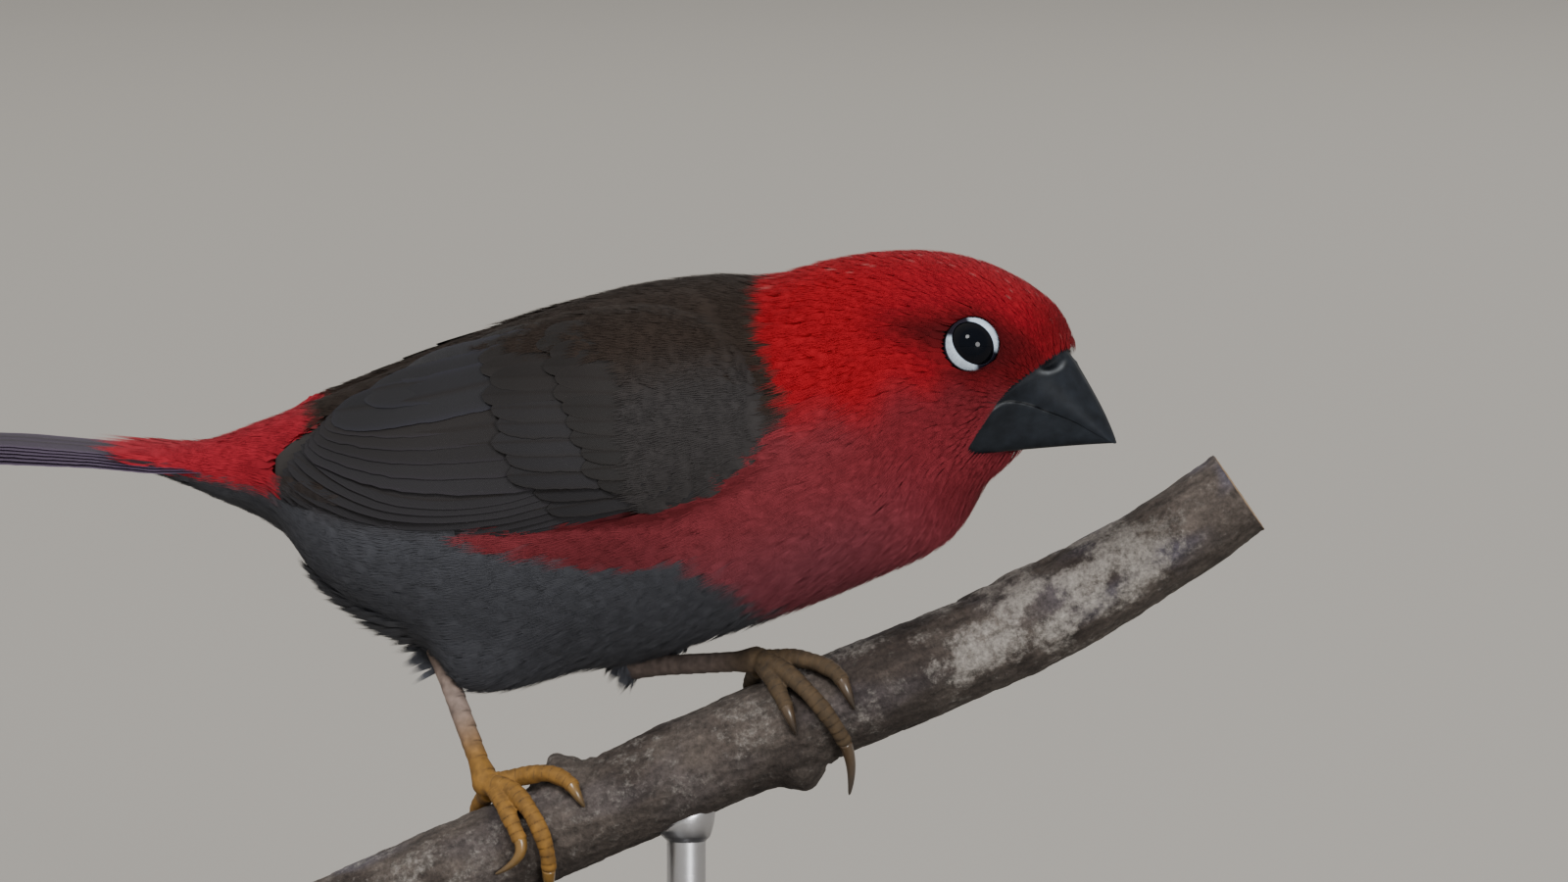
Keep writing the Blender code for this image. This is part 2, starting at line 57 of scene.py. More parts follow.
# Outline of the plumage: dorsal x and z, ventral x and z, half width and sag.
# The first three rows run under the tail.
TAIL_ROWS = 3
BODY_ROWS = np.array((
    (-60.0, 4.9, -60.0, 3.5, 6.6, 0.2),
    (-52.0, 4.2, -52.0, 2.5, 5.6, 0.2),
    (-46.0, 4.0, -46.0, 0.6, 4.9, 0.1),
    (-41.0, 4.2, -41.0, -1.6, 4.6, 0.0),
    (-33.0, 6.9, -32.2, -5.7, 7.6, 0.0),
    (-26.0, 9.4, -27.0, -12.2, 11.4, 0.5),
    (-17.0, 12.8, -18.0, -17.4, 14.6, 1.0),
    (-6.0, 16.8, -6.0, -19.6, 16.2, 1.0),
    (4.0, 19.8, 6.0, -18.4, 16.4, 1.0),
    (13.0, 21.1, 17.5, -15.2, 15.6, 1.0),
    (20.2, 21.2, 29.6, -10.6, 14.0, 1.0),
    (26.6, 22.8, 38.3, -6.4, 12.0, 1.0),
    (33.0, 23.8, 42.5, -0.8, 10.6, 1.2),
    (39.4, 23.8, 45.1, 1.5, 9.6, 1.4),
    (45.4, 22.2, 47.1, 3.3, 8.7, 1.0),
    (50.7, 18.9, 48.4, 4.3, 7.4, 0.6),
    (53.1, 14.4, 48.6, 5.3, 5.7, 0.0),
    (53.7, 13.0, 48.4, 6.2, 4.7, 0.0),
))
# Folded wings: station, upper and lower edge in degrees, thickness
SHOULDER = ((7.05, 66, 78, 0.9), (6.85, 52, 87, 1.4), (6.4, 40, 93, 1.8), (5.8, 31, 96, 2.0))
WINGS = {
    -1: SHOULDER + ((5.0, 25, 93, 2.0), (4.0, 20, 88, 1.9), (3.0, 23, 82, 1.7), (2.1, 36, 80, 1.4),
                    (1.6, 48, 84, 1.1), (1.25, 62, 89, 0.8)),
    1: SHOULDER + ((5.0, 25, 94, 2.0), (4.0, 18, 91, 1.9), (3.0, 13, 86, 1.7), (2.1, 14, 74, 1.4),
                   (1.6, 15, 58, 1.1), (1.2, 18, 38, 0.8)),
}
SIDE_NAMES = {-1: "right", 1: "left"}

# Bill in the bird's x and z, nostrils and eyes in x, y and z, all with the head straight
BILL_BROW, BILL_GAPE, BILL_CHIN, BILL_TIP = (52.3, 14.2), (46.4, 8.4), (43.2, 3.7), (57.7, 4.6)
NOSTRILS = [np.array((52.4, y, 13.2)) for y in (-2.9, 2.9)]
EYE_PLACE, EYE_RADIUS, EYE_SOCKET = (45.2, 6.3, 15.3), 2.85, 3.1
# Lids: half axes and slope of their opening, how far they reach, and how far off the feathers are parted.
# The section of the lids is share outwards and height.
LID_SHORT, LID_LONG, LID_SLOPE, LID_REACH, PARTING = 1.78, 2.38, -45, 2.78, 2.95
LID_SECTION = np.array((
    (0.0, -0.10), (0.04, 0.10), (0.14, 0.17), (0.45, 0.16), (0.78, 0.14), (0.94, 0.02), (1.0, -0.25),
    (1.16, -0.8)))

# Branch: axis in the scene's x and z with its radius
BRANCH_AXIS = np.array((
    (-40.5, 17.2, 4.9), (-22.0, 25.3, 5.0), (-9.0, 31.0, 4.9), (1.0, 35.6, 5.2), (16.0, 42.2, 5.1),
    (31.0, 48.4, 5.0), (41.0, 53.4, 4.9), (51.0, 59.5, 4.6), (57.5, 64.0, 4.6)))
# Knots: distance along it, angle, height, length, spread
BRANCH_KNOTS = ((33.3, -15, 2.3, 2.2, 40), (56.4, 172, 1.9, 2.0, 36), (84.0, -60, 0.9, 4.0, 60))

# Legs: heel, foot, knee, place along the branch and toes, as in the solids. A toe has its reach along the branch,
# degrees round it and bow, then its claw tip's reach, degrees and lift.
LEGS = {
    -1: {"heel": (-25.0, 7.0, 48.2), "foot": (-19.4, -1.0, 34.2), "knee": (-16.5, 1.0, 46.6), "along": 26.0,
         "toes": {"inner": (8.4, 56, 0.0, 8.6, 76, 0.0), "middle": (2.0, 124, 1.5, 1.2, 170, 0.0),
                  "outer": (0.7, 84, 0.0, -3.0, 104, 0.0), "back": (-3.6, -86, 0.0, -4.6, -134, 0.0)}},
    1: {"heel": (-5.4, 10.0, 45.0), "foot": (8.3, -1.0, 46.9), "knee": (0.0, 12.0, 52.5), "along": 56.8,
        "toes": {"inner": (0.9, 72, 0.0, 0.6, 98, 0.0), "middle": (4.8, 128, 0.0, 3.0, 158, 3.9),
                 "outer": (7.0, 70, 0.0, 7.0, 98, 0.0), "back": (-2.6, -90, 0.0, -3.4, -138, 0.0)}},
}
TOE_RADIUS, THIGH_RADIUS = 0.85, 4.6

# Stand: length and width of the base, and the rod's x
BASE_LENGTH, BASE_WIDTH, ROD_X = 94.0, 62.0, 1.0

# Each small vane's patch on the unwrapped skin, and the pale edge's share of a large vane's half
BAKE_PATCH, PALE_EDGE = 0.0028, 0.35

# Colours, linear
NAPE_RED, CROWN_RED, RUMP_RED = (0.29, 0.004, 0.010), (0.270, 0.005, 0.012), (0.31, 0.0145, 0.026)
FLANK_RED, CHEEK_RED = (0.184, 0.0265, 0.034), (0.178, 0.0150, 0.0220)
# The throat red is partly the throat's own red and partly painted light, lighter to make up for the shade under
# the head
BREAST_RED, THROAT_RED_AND_FILL = (0.212, 0.051, 0.067), (0.230, 0.026, 0.037)
BELLY_SLATE, WING_SLATE, WING_BROWN = (0.056, 0.058, 0.067), (0.0195, 0.0185, 0.0205), (0.0165, 0.0140, 0.0132)
MANTLE_BROWN, SHOULDER_BROWN = (0.026, 0.018, 0.014), (0.033, 0.030, 0.030)
LEG_OCHRE, LICHEN_GREY = (0.190, 0.092, 0.014), (0.30, 0.275, 0.25)
# Claws at root and tip; the far foot's are painted darker, as shade under the body
CLAW_COLOURS = {-1: ((0.21, 0.115, 0.030), (0.10, 0.066, 0.032)),
                1: ((0.078, 0.050, 0.028), (0.030, 0.022, 0.016))}


# Curves and surfaces

def spline(rows, at):
    """A smooth curve through rows, read at places counted in rows."""
    rows = np.asarray(rows, float)
    first = np.clip(np.floor(at).astype(int), 0, len(rows) - 2)
    t = (at - first)[..., None]
    a, b, c, d = (rows[np.clip(first + k, 0, len(rows) - 1)] for k in (-1, 0, 1, 2))
    return b + 0.5 * t * (c - a + t * (2 * a - 5 * b + 4 * c - d + t * (3 * (b - c) + d - a)))


def ease(low, high, value):
    """A smooth step from 0 at low to 1 at high."""
    t = np.clip((value - low) / (high - low), 0, 1)
    return t * t * (3 - 2 * t)


def unit(v):
    """Vectors of length 1."""
    return v / np.maximum(np.linalg.norm(v, axis=-1, keepdims=True), 1e-9)


def wrap(degrees):
    """Degrees from -180 to 180."""
    return (np.asarray(degrees, float) + 180) % 360 - 180


def turn_matrix(axis, angle):
    """The turn about an axis by its name."""
    c, s = math.cos(angle), math.sin(angle)
    return np.array({"x": ((1, 0, 0), (0, c, -s), (0, s, c)), "y": ((c, 0, s), (0, 1, 0), (-s, 0, c)),
                     "z": ((c, -s, 0), (s, c, 0), (0, 0, 1))}[axis])


BIRD_TURN = turn_matrix("z", -BIRD_YAW) @ turn_matrix("y", -BIRD_PITCH) @ turn_matrix("x", BIRD_ROLL)


def from_bird(points):
    """The scene's millimetres from the bird's."""
    return np.asarray(points, float) @ BIRD_TURN.T + BIRD_PLACE


def turned(points, share=1.0):
    """Points of the head after a share of its turn to the right."""
    points = np.asarray(points, float)
    angle = -HEAD_TURN * np.asarray(share)
    c, s = np.cos(angle), np.sin(angle)
    x, y, z = points[..., 0] - TURN_X, points[..., 1], points[..., 2]
    return np.stack((TURN_X + c * x - s * y, s * x + c * y, z), -1)


def body_straight(station, degrees, lift=0.0):
    """A place on the outline of the plumage with the head straight."""
    station, degrees, lift = np.broadcast_arrays(np.asarray(station, float), degrees, lift)
    row = spline(BODY_ROWS, station + TAIL_ROWS)
    angle = np.radians(degrees)
    rise = np.stack((row[..., 0] - row[..., 2], row[..., 1] - row[..., 3]), -1) / 2
    height = np.linalg.norm(rise, axis=-1)
    up = rise / height[..., None]
    sideways, upwards = np.sin(angle), np.cos(angle)
    out_up, out_side = upwards / height, sideways / row[..., 4]
    size = np.hypot(out_up, out_side)
    k = height * upwards - row[..., 5] * sideways**2 + lift * out_up / size
    x = (row[..., 0] + row[..., 2]) / 2 + up[..., 0] * k
    z = (row[..., 1] + row[..., 3]) / 2 + up[..., 1] * k
    return np.stack((x, row[..., 4] * sideways + lift * out_side / size, z), -1)


def mound(*pairs):
    """A smooth rise, 1 where every offset is nought: offset and width, offset and width."""
    return np.exp(-sum((offset / width) ** 2 for offset, width in zip(pairs[::2], pairs[1::2])))


def at_ends(v):
    """Where a moulded grid's v is 0 or 1."""
    return (v < 1e-6) | (v > 1 - 1e-6)


def wing_rows(side, station):
    """Upper and lower edge in degrees and thickness of a folded wing at stations."""
    rows = np.array(WINGS[side][::-1])
    return [np.interp(station, rows[:, 0], rows[:, k]) for k in (1, 2, 3)]


def wing_height(station, degrees):
    """How far a folded wing or a thigh under its loose feathers stands off the body there."""
    station, degrees = np.broadcast_arrays(np.asarray(station, float), wrap(degrees))
    near_thigh = 3.4 * mound(np.maximum(station - 3.55, 0), 0.68, wrap(degrees + 158), 22)
    height = near_thigh * ease(3.15, 3.5, station) + 1.5 * mound(station - 4.75, 0.45, wrap(degrees - 163), 18)
    for side in WINGS:
        upper, lower, thick = wing_rows(side, station)
        share = (degrees * side - upper) / (lower - upper)
        swell = 0.8 + (thick - 0.5) * np.sin(math.pi * np.clip(share, 0, 1)) ** 0.6
        falls = (1 - ease(0, 0.10, -share)) * (1 - ease(0, 0.05, share - 1))
        ends = ease(1.0, 1.35, station) * (1 - ease(6.85, 7.25, station))
        height = np.maximum(height, swell * falls * ends * (degrees * side > 0))
    return height


def bare_body(station, degrees, lift=0.0):
    """A place on the outline without wings and thighs, in the scene's millimetres."""
    share = ease(*TURN_STATIONS, np.asarray(station, float))
    return from_bird(turned(body_straight(station, degrees, lift), share))


def plumage(station, degrees, lift=0.0):
    """A place over the body or a folded wing, in the scene's millimetres."""
    return bare_body(station, degrees, lift + wing_height(station, degrees))


BRANCH_LENGTHS = np.concatenate(((0,), np.cumsum(np.hypot(*np.diff(BRANCH_AXIS[:, :2], axis=0).T))))


def branch_frame(along):
    """Centre, direction and upward normal of the branch, and its radius."""
    along = np.asarray(along, float)
    index = np.clip(np.searchsorted(BRANCH_LENGTHS, along, "right") - 1, 0, len(BRANCH_LENGTHS) - 2)
    at = index + (along - BRANCH_LENGTHS[index]) / np.diff(BRANCH_LENGTHS)[index]
    here, ahead = spline(BRANCH_AXIS, at), spline(BRANCH_AXIS, at + 0.02)
    flat = np.zeros(at.shape)
    forward = unit(np.stack((ahead[..., 0] - here[..., 0], flat, ahead[..., 1] - here[..., 1]), -1))
    normal = np.stack((-forward[..., 2], flat, forward[..., 0]), -1)
    return np.stack((here[..., 0], flat, here[..., 1]), -1), forward, normal, here[..., 2]


def on_bark(along, degrees, lift=0.0):
    """A place on the bark: degrees run round it from the top towards the near side."""
    along, degrees, lift = np.broadcast_arrays(np.asarray(along, float), degrees, lift)
    centre, _, normal, radius = branch_frame(along)
    out = radius + lift
    for knot_along, knot_degrees, rise, length, spread in BRANCH_KNOTS:
        out = out + rise * mound(along - knot_along, length, wrap(degrees - knot_degrees), spread)
    angle = np.radians(degrees)[..., None]
    return centre + out[..., None] * (normal * np.cos(angle) + np.array((0, -1, 0)) * np.sin(angle))


def roughness_at(points, size, octaves=4, seed=0.0):
    """Fractal noise from about -1 to 1 at each point."""
    offset = Vector((seed, seed * 1.7, -seed))
    places = [Vector(p) / size + offset for p in points.reshape(-1, 3)]
    return np.array([noise.fractal(p, 1.0, 2.0, octaves) for p in places]).reshape(points.shape[:-1])


# Making meshes

def moulded(around, along, shape):
    """A flat grid bent to a shape: u runs round it and v along it, from 0 to 1. Returns its mesh."""
    grid = bmesh.new()
    bmesh.ops.create_grid(grid, x_segments=around, y_segments=along, size=0.5)
    flat = np.array([v.co for v in grid.verts])
    for vert, place in zip(grid.verts, shape(flat[:, 0] + 0.5, flat[:, 1] + 0.5) * MM):
        vert.co = place
    bmesh.ops.remove_doubles(grid, verts=grid.verts, dist=2e-7)
    bmesh.ops.recalc_face_normals(grid, faces=grid.faces)
    mesh = bpy.data.meshes.new("piece")
    grid.to_mesh(mesh)
    grid.free()
    mesh.shade_smooth()
    return mesh


def joined(name, meshes):
    """One mesh of several."""
    whole = bmesh.new()
    for mesh in meshes:
        whole.from_mesh(mesh)
        bpy.data.meshes.remove(mesh)
    mesh = bpy.data.meshes.new(name)
    whole.to_mesh(mesh)
    whole.free()
    mesh.shade_smooth()
    return mesh


def shrink_wrapped(mesh, voxel, passes):
    """The mesh as one closed skin with its bumps kept to a voxel's size."""
    helper = bpy.data.objects.new("helper", mesh)
    bpy.context.scene.collection.objects.link(helper)
    step = helper.modifiers.new("Remesh", "REMESH")
    step.mode = "VOXEL"
    step.voxel_size = voxel * MM
    even = helper.modifiers.new("Even", "SMOOTH")
    even.factor, even.iterations = 0.5, passes
    bpy.context.view_layer.update()
    done = bpy.data.meshes.new_from_object(helper.evaluated_get(bpy.context.evaluated_depsgraph_get()))
    bpy.data.objects.remove(helper)
    done.shade_smooth()
    return done


def mesh_points(mesh):
    """A mesh's points in millimetres."""
    flat = np.empty(len(mesh.vertices) * 3)
    mesh.vertices.foreach_get("co", flat)
    return flat.reshape(-1, 3) / MM


def set_points(mesh, points):
    """Moves a mesh's points to places in millimetres."""
    mesh.vertices.foreach_set("co", (points * MM).ravel())
    mesh.update()


def mesh_normals(mesh):
    """The outward direction at each point."""
    flat = np.empty(len(mesh.vertices) * 3)
    mesh.vertex_normals.foreach_get("vector", flat)
    return flat.reshape(-1, 3)


def set_tint(mesh, colours):
    """Gives each point its own colour."""
    layer = mesh.color_attributes.new("tint", "FLOAT_COLOR", "POINT")
    layer.data.foreach_set("color", np.concatenate((colours, np.ones((len(colours), 1))), 1).ravel())


def piece(name, mesh, finish, replaces=()):
    """Puts an object made from a mesh in the scene, riding on the one body."""
    mesh.name = name
    mesh.materials.clear()
    for one in finish if isinstance(finish, tuple) else (finish,):
        mesh.materials.append(one)
    made = bpy.data.objects.new(name, mesh)
    bpy.context.scene.collection.objects.link(made)
    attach(made, "root")
    if replaces:
        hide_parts(*replaces)


def spot_tree(spots):
    """A tree that finds the nearest of some places."""
    tree = kdtree.KDTree(len(spots))
    for k, spot in enumerate(spots):
        tree.insert(spot, k)
    tree.balance()
    return tree


def feather_piece(name, vanes, finish, lean=0.6, replaces=()):
    """Many vanes in one piece, from points, faces, colours, places on the vane, bake patches and normals.

    Their shading leans towards the lie of the whole coat, as soft plumage blends into one surface.
    """
    points, faces, tint, lie, bake, out = vanes
    mesh = bpy.data.meshes.new(name)
    mesh.vertices.add(len(points))
    mesh.vertices.foreach_set("co", (points * MM).ravel())
    mesh.loops.add(faces.size)
    mesh.loops.foreach_set("vertex_index", faces.ravel().astype(np.int32))
    mesh.polygons.add(len(faces))
    mesh.polygons.foreach_set("loop_start", np.arange(0, faces.size, faces.shape[1], dtype=np.int32))
    mesh.update(calc_edges=True)
    set_tint(mesh, tint)
    for layer_name, values in (("OFBake", bake), ("Vane", lie)):
        mesh.uv_layers.new(name=layer_name).data.foreach_set("uv", values[faces.ravel()].ravel())
    mesh.shade_smooth()
    own = mesh_normals(mesh)
    own = own * np.sign(np.einsum("ij,ij->i", own, out) + 1e-6)[:, None]
    mesh.normals_split_custom_set_from_vertices(unit(own * (1 - lean) + out * lean))
    piece(name, mesh, finish, replaces)


# Materials

class Finish:
    """A material, with short ways to add nodes to it that each return the new node's output."""

    def __init__(self, name, colour=(0.5, 0.5, 0.5), roughness=0.5, **values):
        self.material = bpy.data.materials.new(name)
        self.material.use_nodes = True
        self.tree = self.material.node_tree
        self.wire({"Base Color": (*colour, 1), "Roughness": roughness})
        self.wire({key.replace("_", " "): value for key, value in values.items()})

    def feed(self, node, inputs):
        for key, source in inputs.items():
            if isinstance(source, bpy.types.NodeSocket):
                self.tree.links.new(source, node.inputs[key])
            else:
                node.inputs[key].default_value = source

    def wire(self, inputs):
        """Sets the shader's own inputs."""
        self.feed(self.tree.nodes["Principled BSDF"], inputs)

    def add(self, kind, inputs=None, out=0, **settings):
        node = self.tree.nodes.new("ShaderNode" + kind)
        for key, value in settings.items():
            setattr(node, key, value)
        self.feed(node, inputs or {})
        return node.outputs[out]

    def sums(self, operation, *values):
        return self.add("Math", dict(enumerate(values)), operation=operation)

    def tint(self):
        return self.add("VertexColor", layer_name="tint")

    def place(self, stretch=None):
        """The object's own coordinates, stretched along its axes."""
        place = self.add("TexCoord", out="Object")
        return self.add("Mapping", {"Vector": place, "Scale": stretch}) if stretch else place

    def lit(self, colour, factor):
        return self.add("VectorMath", {0: colour, "Scale": factor}, operation="SCALE")

    def grain(self, place, scale, detail=2.0, rough=0.5):
        return self.add("TexNoise", {"Vector": place, "Scale": scale, "Detail": detail, "Roughness": rough})

    def bump(self, height, strength, distance, under=None):
        over = {"Normal": under} if under else {}
        return self.add("Bump", {"Height": height, "Strength": strength, "Distance": distance, **over})


def feather_finish(name, barb_pitch, strength, roughness, gloss):
    """Barbs slanting off the shaft as fine ridges, over the feathers' own colours, which are striped lighter and
    darker in step with the ridges as painted shade.
    """
    made = Finish(name, roughness=roughness, Specular_IOR_Level=gloss)
    across = made.add("SeparateXYZ", {0: made.add("UVMap", uv_map="Vane")})
    slant = made.sums("MULTIPLY_ADD", made.sums("ABSOLUTE", across), -1.5, across.node.outputs[1])
    wave = made.sums("SINE", made.sums("MULTIPLY", slant, 2 * math.pi / barb_pitch))
    shade = made.sums("MULTIPLY_ADD", wave, 0.5 * strength, 1.0)
    made.wire({"Base Color": made.lit(made.tint(), shade), "Normal": made.bump(wave, strength, 0.00006)})
    return made.material


SOFT = feather_finish("contour_plumage", 0.16, 0.25, 0.80, 0.12)
STIFF = feather_finish("flight_plumage", 0.24, 0.30, 0.60, 0.15)


# Markings

HOOD_DEGREES = (0, 28, 47, 63.5, 78, 84, 90, 92, 96, 100.5, 108, 112.5, 114.5, 123.5, 138.5, 162, 180)
HOOD_STATIONS = (6.93, 6.98, 7.08, 7.2, 7.25, 6.4, 4.0, 3.75, 3.83, 4.28, 4.8, 5.25, 5.73, 5.95, 6.18, 6.25,
                 6.3)


def blend(a, b, share):
    """Colour a, or b where the share is 1."""
    share = np.asarray(share)[..., None]
    return np.asarray(a) * (1 - share) + np.asarray(b) * share


def markings(station, degrees):
    """The plumage's colour: crimson hood, breast, flank stripe and rump on brown and slate."""
    off = np.abs(wrap(degrees))
    wave = 0.05 * np.sin(off * 0.9) + 0.04 * np.sin(off * 2.3 + 1)
    hood = ease(-0.10, 0.10, station - np.interp(off, HOOD_DEGREES, HOOD_STATIONS) + wave)
    # The brown and slate are painted lighter towards the belly, as light against the shade beneath the body
    dark = blend(MANTLE_BROWN, BELLY_SLATE, ease(70, 95, off)) * (1 + 0.28 * ease(120, 160, off))[..., None]
    crown = blend(NAPE_RED, CROWN_RED, ease(8.2, 10.2, station) * (1 - 0.4 * ease(45, 75, off)))
    ahead = ease(6.6, 9.4, station)
    # Under the head the red turns to the lighter throat red, painted light against the shade beneath
    cheek, throat = blend(FLANK_RED, CHEEK_RED, ahead), blend(BREAST_RED, THROAT_RED_AND_FILL, ahead)
    below = blend(cheek, throat, ease(98, 142, off))
    turn = np.interp(station, (6.9, 7.4, 8.1, 9.0, 11.0), (56, 66, 75, 76, 77))
    red = blend(crown, below, ease(0, 24, off - turn + 3 * np.sin(station * 5)))
    # Painted shade: a dusky band behind the eye, a darker surround round the eye and along the lids' border, the
    # forehead's front edge where it overhangs the bill, and the flank under the wing's lower edge; the lores are
    # darker too
    band = mound(off - 65 + 4 * (11 - station), 10) * ease(8.4, 9.9, station)
    band = band * (1 - ease(10.5, 11.0, station))
    surround = mound(station - 11, 1.05, off - 68, np.where(off > 68, 36, 27))
    lores = ease(11.2, 12.0, station) * ease(35, 52, off) * (1 - ease(84, 98, off))
    forehead_shade = ease(11.4, 12.7, station) * (1 - ease(35, 60, off))
    lid_border_shade = mound(off_eyes(station, degrees) - 2.4, 1.5)
    flank = mound(off - 108, 14) * (1 - ease(5.0, 6.2, station))
    marks = ((0.66, band), (0.64, surround), (0.57, lores), (0.38, forehead_shade), (0.55, lid_border_shade), (0.32, flank))
    for amount, mark in marks:
        red = red * (1 - amount * mark)[..., None]
    front = np.interp(off, (0, 20, 30, 42, 64, 98), (1.50, 1.52, 1.78, 1.75, 1.45, 1.2))
    rump = (1 - ease(-0.12, 0.12, station - front + wave)) * (1 - ease(92, 104, off))
    return blend(blend(dark, red, hood), RUMP_RED, rump)


# Contour feathers

def vane_template(barbs):
    """A small vane: across from -1 to 1 and along from 0 to 1, with its round end split into barbs."""
    across = np.linspace(-1, 1, barbs + 1)
    places = [(0.0, 0.0)]
    places += [(x * 0.86, 0.30) for x in across]
    places += [(x, 0.60 + 0.06 * (1 - x * x)) for x in across]
    faces = [(0, 1 + k, 2 + k) for k in range(barbs)]
    n = barbs + 1
    for k in range(barbs):
        a, b, c, d = 1 + k, 2 + k, 1 + n + k, 2 + n + k
        faces += [(a, c, d), (a, d, b)]
        middle = (across[k] + across[k + 1]) / 2
        reach = 0.68 + 0.32 * math.sqrt(1 - (0.92 * middle) ** 2) + (0.06 if k % 2 else -0.06)
        faces.append((c, len(places), d))
        places.append((middle * 0.92, reach))
    return np.array(places), np.array(faces)


def scatter(surface, low, high, spacing, wanted, tries, seed):
    """Roots at least a spacing apart on a surface, where wanted says so: two places for each root."""
    rng = np.random.default_rng(seed)
    p, q = rng.uniform(low[0], high[0], tries), rng.uniform(low[1], high[1], tries)
    here = surface(p, q)
    along, across = surface(p + 0.02, q) - here, surface(p, q + 0.5) - here
    area = np.linalg.norm(np.cross(along, across), axis=-1)
    gap = spacing(p, q)
    keep = wanted(p, q) & (rng.random(tries) < area / np.percentile(area, 98))
    p, q, here, gap = p[keep], q[keep], here[keep], gap[keep]
    tree = spot_tree(here)
    alive = np.ones(len(p), bool)
    chosen = []
    for k in range(len(p)):
        if alive[k]:
            chosen.append(k)
            for _, other, _ in tree.find_range(here[k], gap[k]):
                alive[other] = False
    return p[chosen], q[chosen], rng


def bake_place(p, q):
    """A place's patch on the unwrapped skin."""
    return np.stack((0.02 + 0.96 * (q + 180) / 360, 0.02 + 0.96 * (p + 3) / 16.5), -1)


def contour_feathers(surface, p, q, rng, length, width, depth, barbs, colour, stray=0.12, flare=0.0,
                     comb=None, bake_at=bake_place, fleck=None):
    """Vanes with roots in the skin that lie back along falling p with their tips at the outline.

    Flecks are given as share of the feathers, colour and where.
    """
    count = len(p)
    template, faces = vane_template(barbs)
    x, t = template[:, 0], template[:, 1]
    here = surface(p, q)
    per_p = np.linalg.norm(surface(p - 0.05, q) - here, axis=-1) / 0.05
    per_q = np.linalg.norm(surface(p, q + 0.5) - here, axis=-1) / 0.5
    length = length * rng.uniform(0.82, 1.15, count)
    width = width * rng.uniform(0.85, 1.15, count)
    drift = rng.normal(0, 0.10, count) * length / np.maximum(per_q, 0.02)
    pp = p[:, None] - (length / per_p)[:, None] * t
    qq = q[:, None] + drift[:, None] * t**1.3
    tip_lift = rng.normal(0, stray, count) + flare
    rise = -np.broadcast_to(depth, count)[:, None] * np.maximum(1 - t, 0) ** 1.4 + tip_lift[:, None] * t**2
    spine = surface(pp, qq, rise)
    sideways = unit(surface(pp, qq + 0.5, rise) - spine)
    backwards = unit(surface(p - 0.05, q) - here)
    out = unit(np.cross(sideways, np.broadcast_to(backwards[:, None], sideways.shape)))
    tilt = rng.normal(0, 0.06, count)[:, None, None]
    reach = (x * width[:, None] / 2)[..., None]
    curl = 0.10 * reach**2 / np.maximum(width, 0.2)[:, None, None]
    points = spine + reach * sideways + out * (reach * tilt - curl)
    if comb:
        points = comb(points)
    # Each vane's tone varies at random, and its root is painted darker as shade under the vanes that overlap it
    tone_and_root_shade = rng.normal(1.0, 0.06, count)[:, None] * (0.82 + 0.20 * np.clip(t, 0.4, 1.0))
    tint = colour(p - length / per_p * 0.75, q + drift * 0.75)[:, None, :] * tone_and_root_shade[..., None]
    if fleck:
        share, fleck_colour, where = fleck
        picked = (rng.random(count) < share) & where(p, q)
        tint = blend(tint, fleck_colour, picked[:, None] * ease(0.80, 1.0, t) * 0.7)
    lie = np.stack((reach[..., 0], length[:, None] * t), -1)
    bake = bake_at(p, q)[:, None, :] + np.stack((x, t * 2 - 1), -1) * BAKE_PATCH / 2
    # Faces look outwards, so a triangle is turned over where it doesn't
    a, b, c = (points[:, faces[1, k]] for k in range(3))
    if (np.einsum("ij,ij->i", np.cross(b - a, c - a), out[:, 0]) > 0).mean() < 0.5:
        faces = faces[:, ::-1]
    every = (faces[None] + (np.arange(count) * len(x))[:, None, None]).reshape(-1, 3)
    out, tint = np.broadcast_to(out, points.shape), np.clip(tint, 0, 1)
    points, tint, lie, bake, out = (x.reshape(-1, x.shape[-1]) for x in (points, tint, lie, bake, out))
    return points, every, tint, lie, bake, out


def bill_line(z):
    """How far forward the feathers reach at a height, where they meet the bill."""
    return np.interp(z, (2.6, 3.4, 4.1, 4.8, 6.5, 7.5, 8.6, 10.8, 12.0, 12.8, 13.7, 14.4, 15.0),
                     (49.5, 47.3, 45.0, 44.7, 45.9, 46.7, 47.5, 49.2, 50.5, 51.5, 52.4, 53.2, 60.0))


def eye_frame(side):
    """Centre of an eye, and its axis outwards, up and forwards, in the scene's millimetres."""
    x, y, z = EYE_PLACE
    centre = from_bird(turned((x, y * side, z)))
    axis = unit(bare_body(11.0, 65.5 * side) - centre)
    forwards = unit(from_bird(turned((x + 1, y * side, z))) - centre)
    forwards = unit(forwards - axis * (forwards @ axis))
    up = np.cross(forwards, axis)
    return centre, axis, up if up[2] > 0 else -up, forwards


EYES = {side: eye_frame(side) for side in (-1, 1)}


def off_axis(points, eye):
    """Height of points along an eye's axis, and their offset from it."""
    centre, axis = eye[:2]
    rel = points - centre
    height = rel @ axis
    return height, rel - height[..., None] * axis


def comb_round_eyes(points):
    """Feathers near an eye are parted round its lids."""
    for eye in EYES.values():
        height, flat = off_axis(points, eye)
        distance = np.linalg.norm(flat, axis=-1)
        near = (height > 0) & (distance < PARTING)
        push = 2.68 + 0.27 * (distance / PARTING) ** 2
        flat = np.where(near[..., None], flat / np.maximum(distance, 0.05)[..., None] * push[..., None], flat)
        points = np.where(near[..., None], eye[0] + flat + height[..., None] * eye[1], points)
    return points


def off_eyes(p, q):
    """Millimetres from the axis of the eye on the same side."""
    here = bare_body(p, q)
    off = np.full(here.shape[:-1], 99.0)
    for eye in EYES.values():
        height, flat = off_axis(here, eye)
        off = np.where(height > 0, np.linalg.norm(flat, axis=-1), off)
    return off


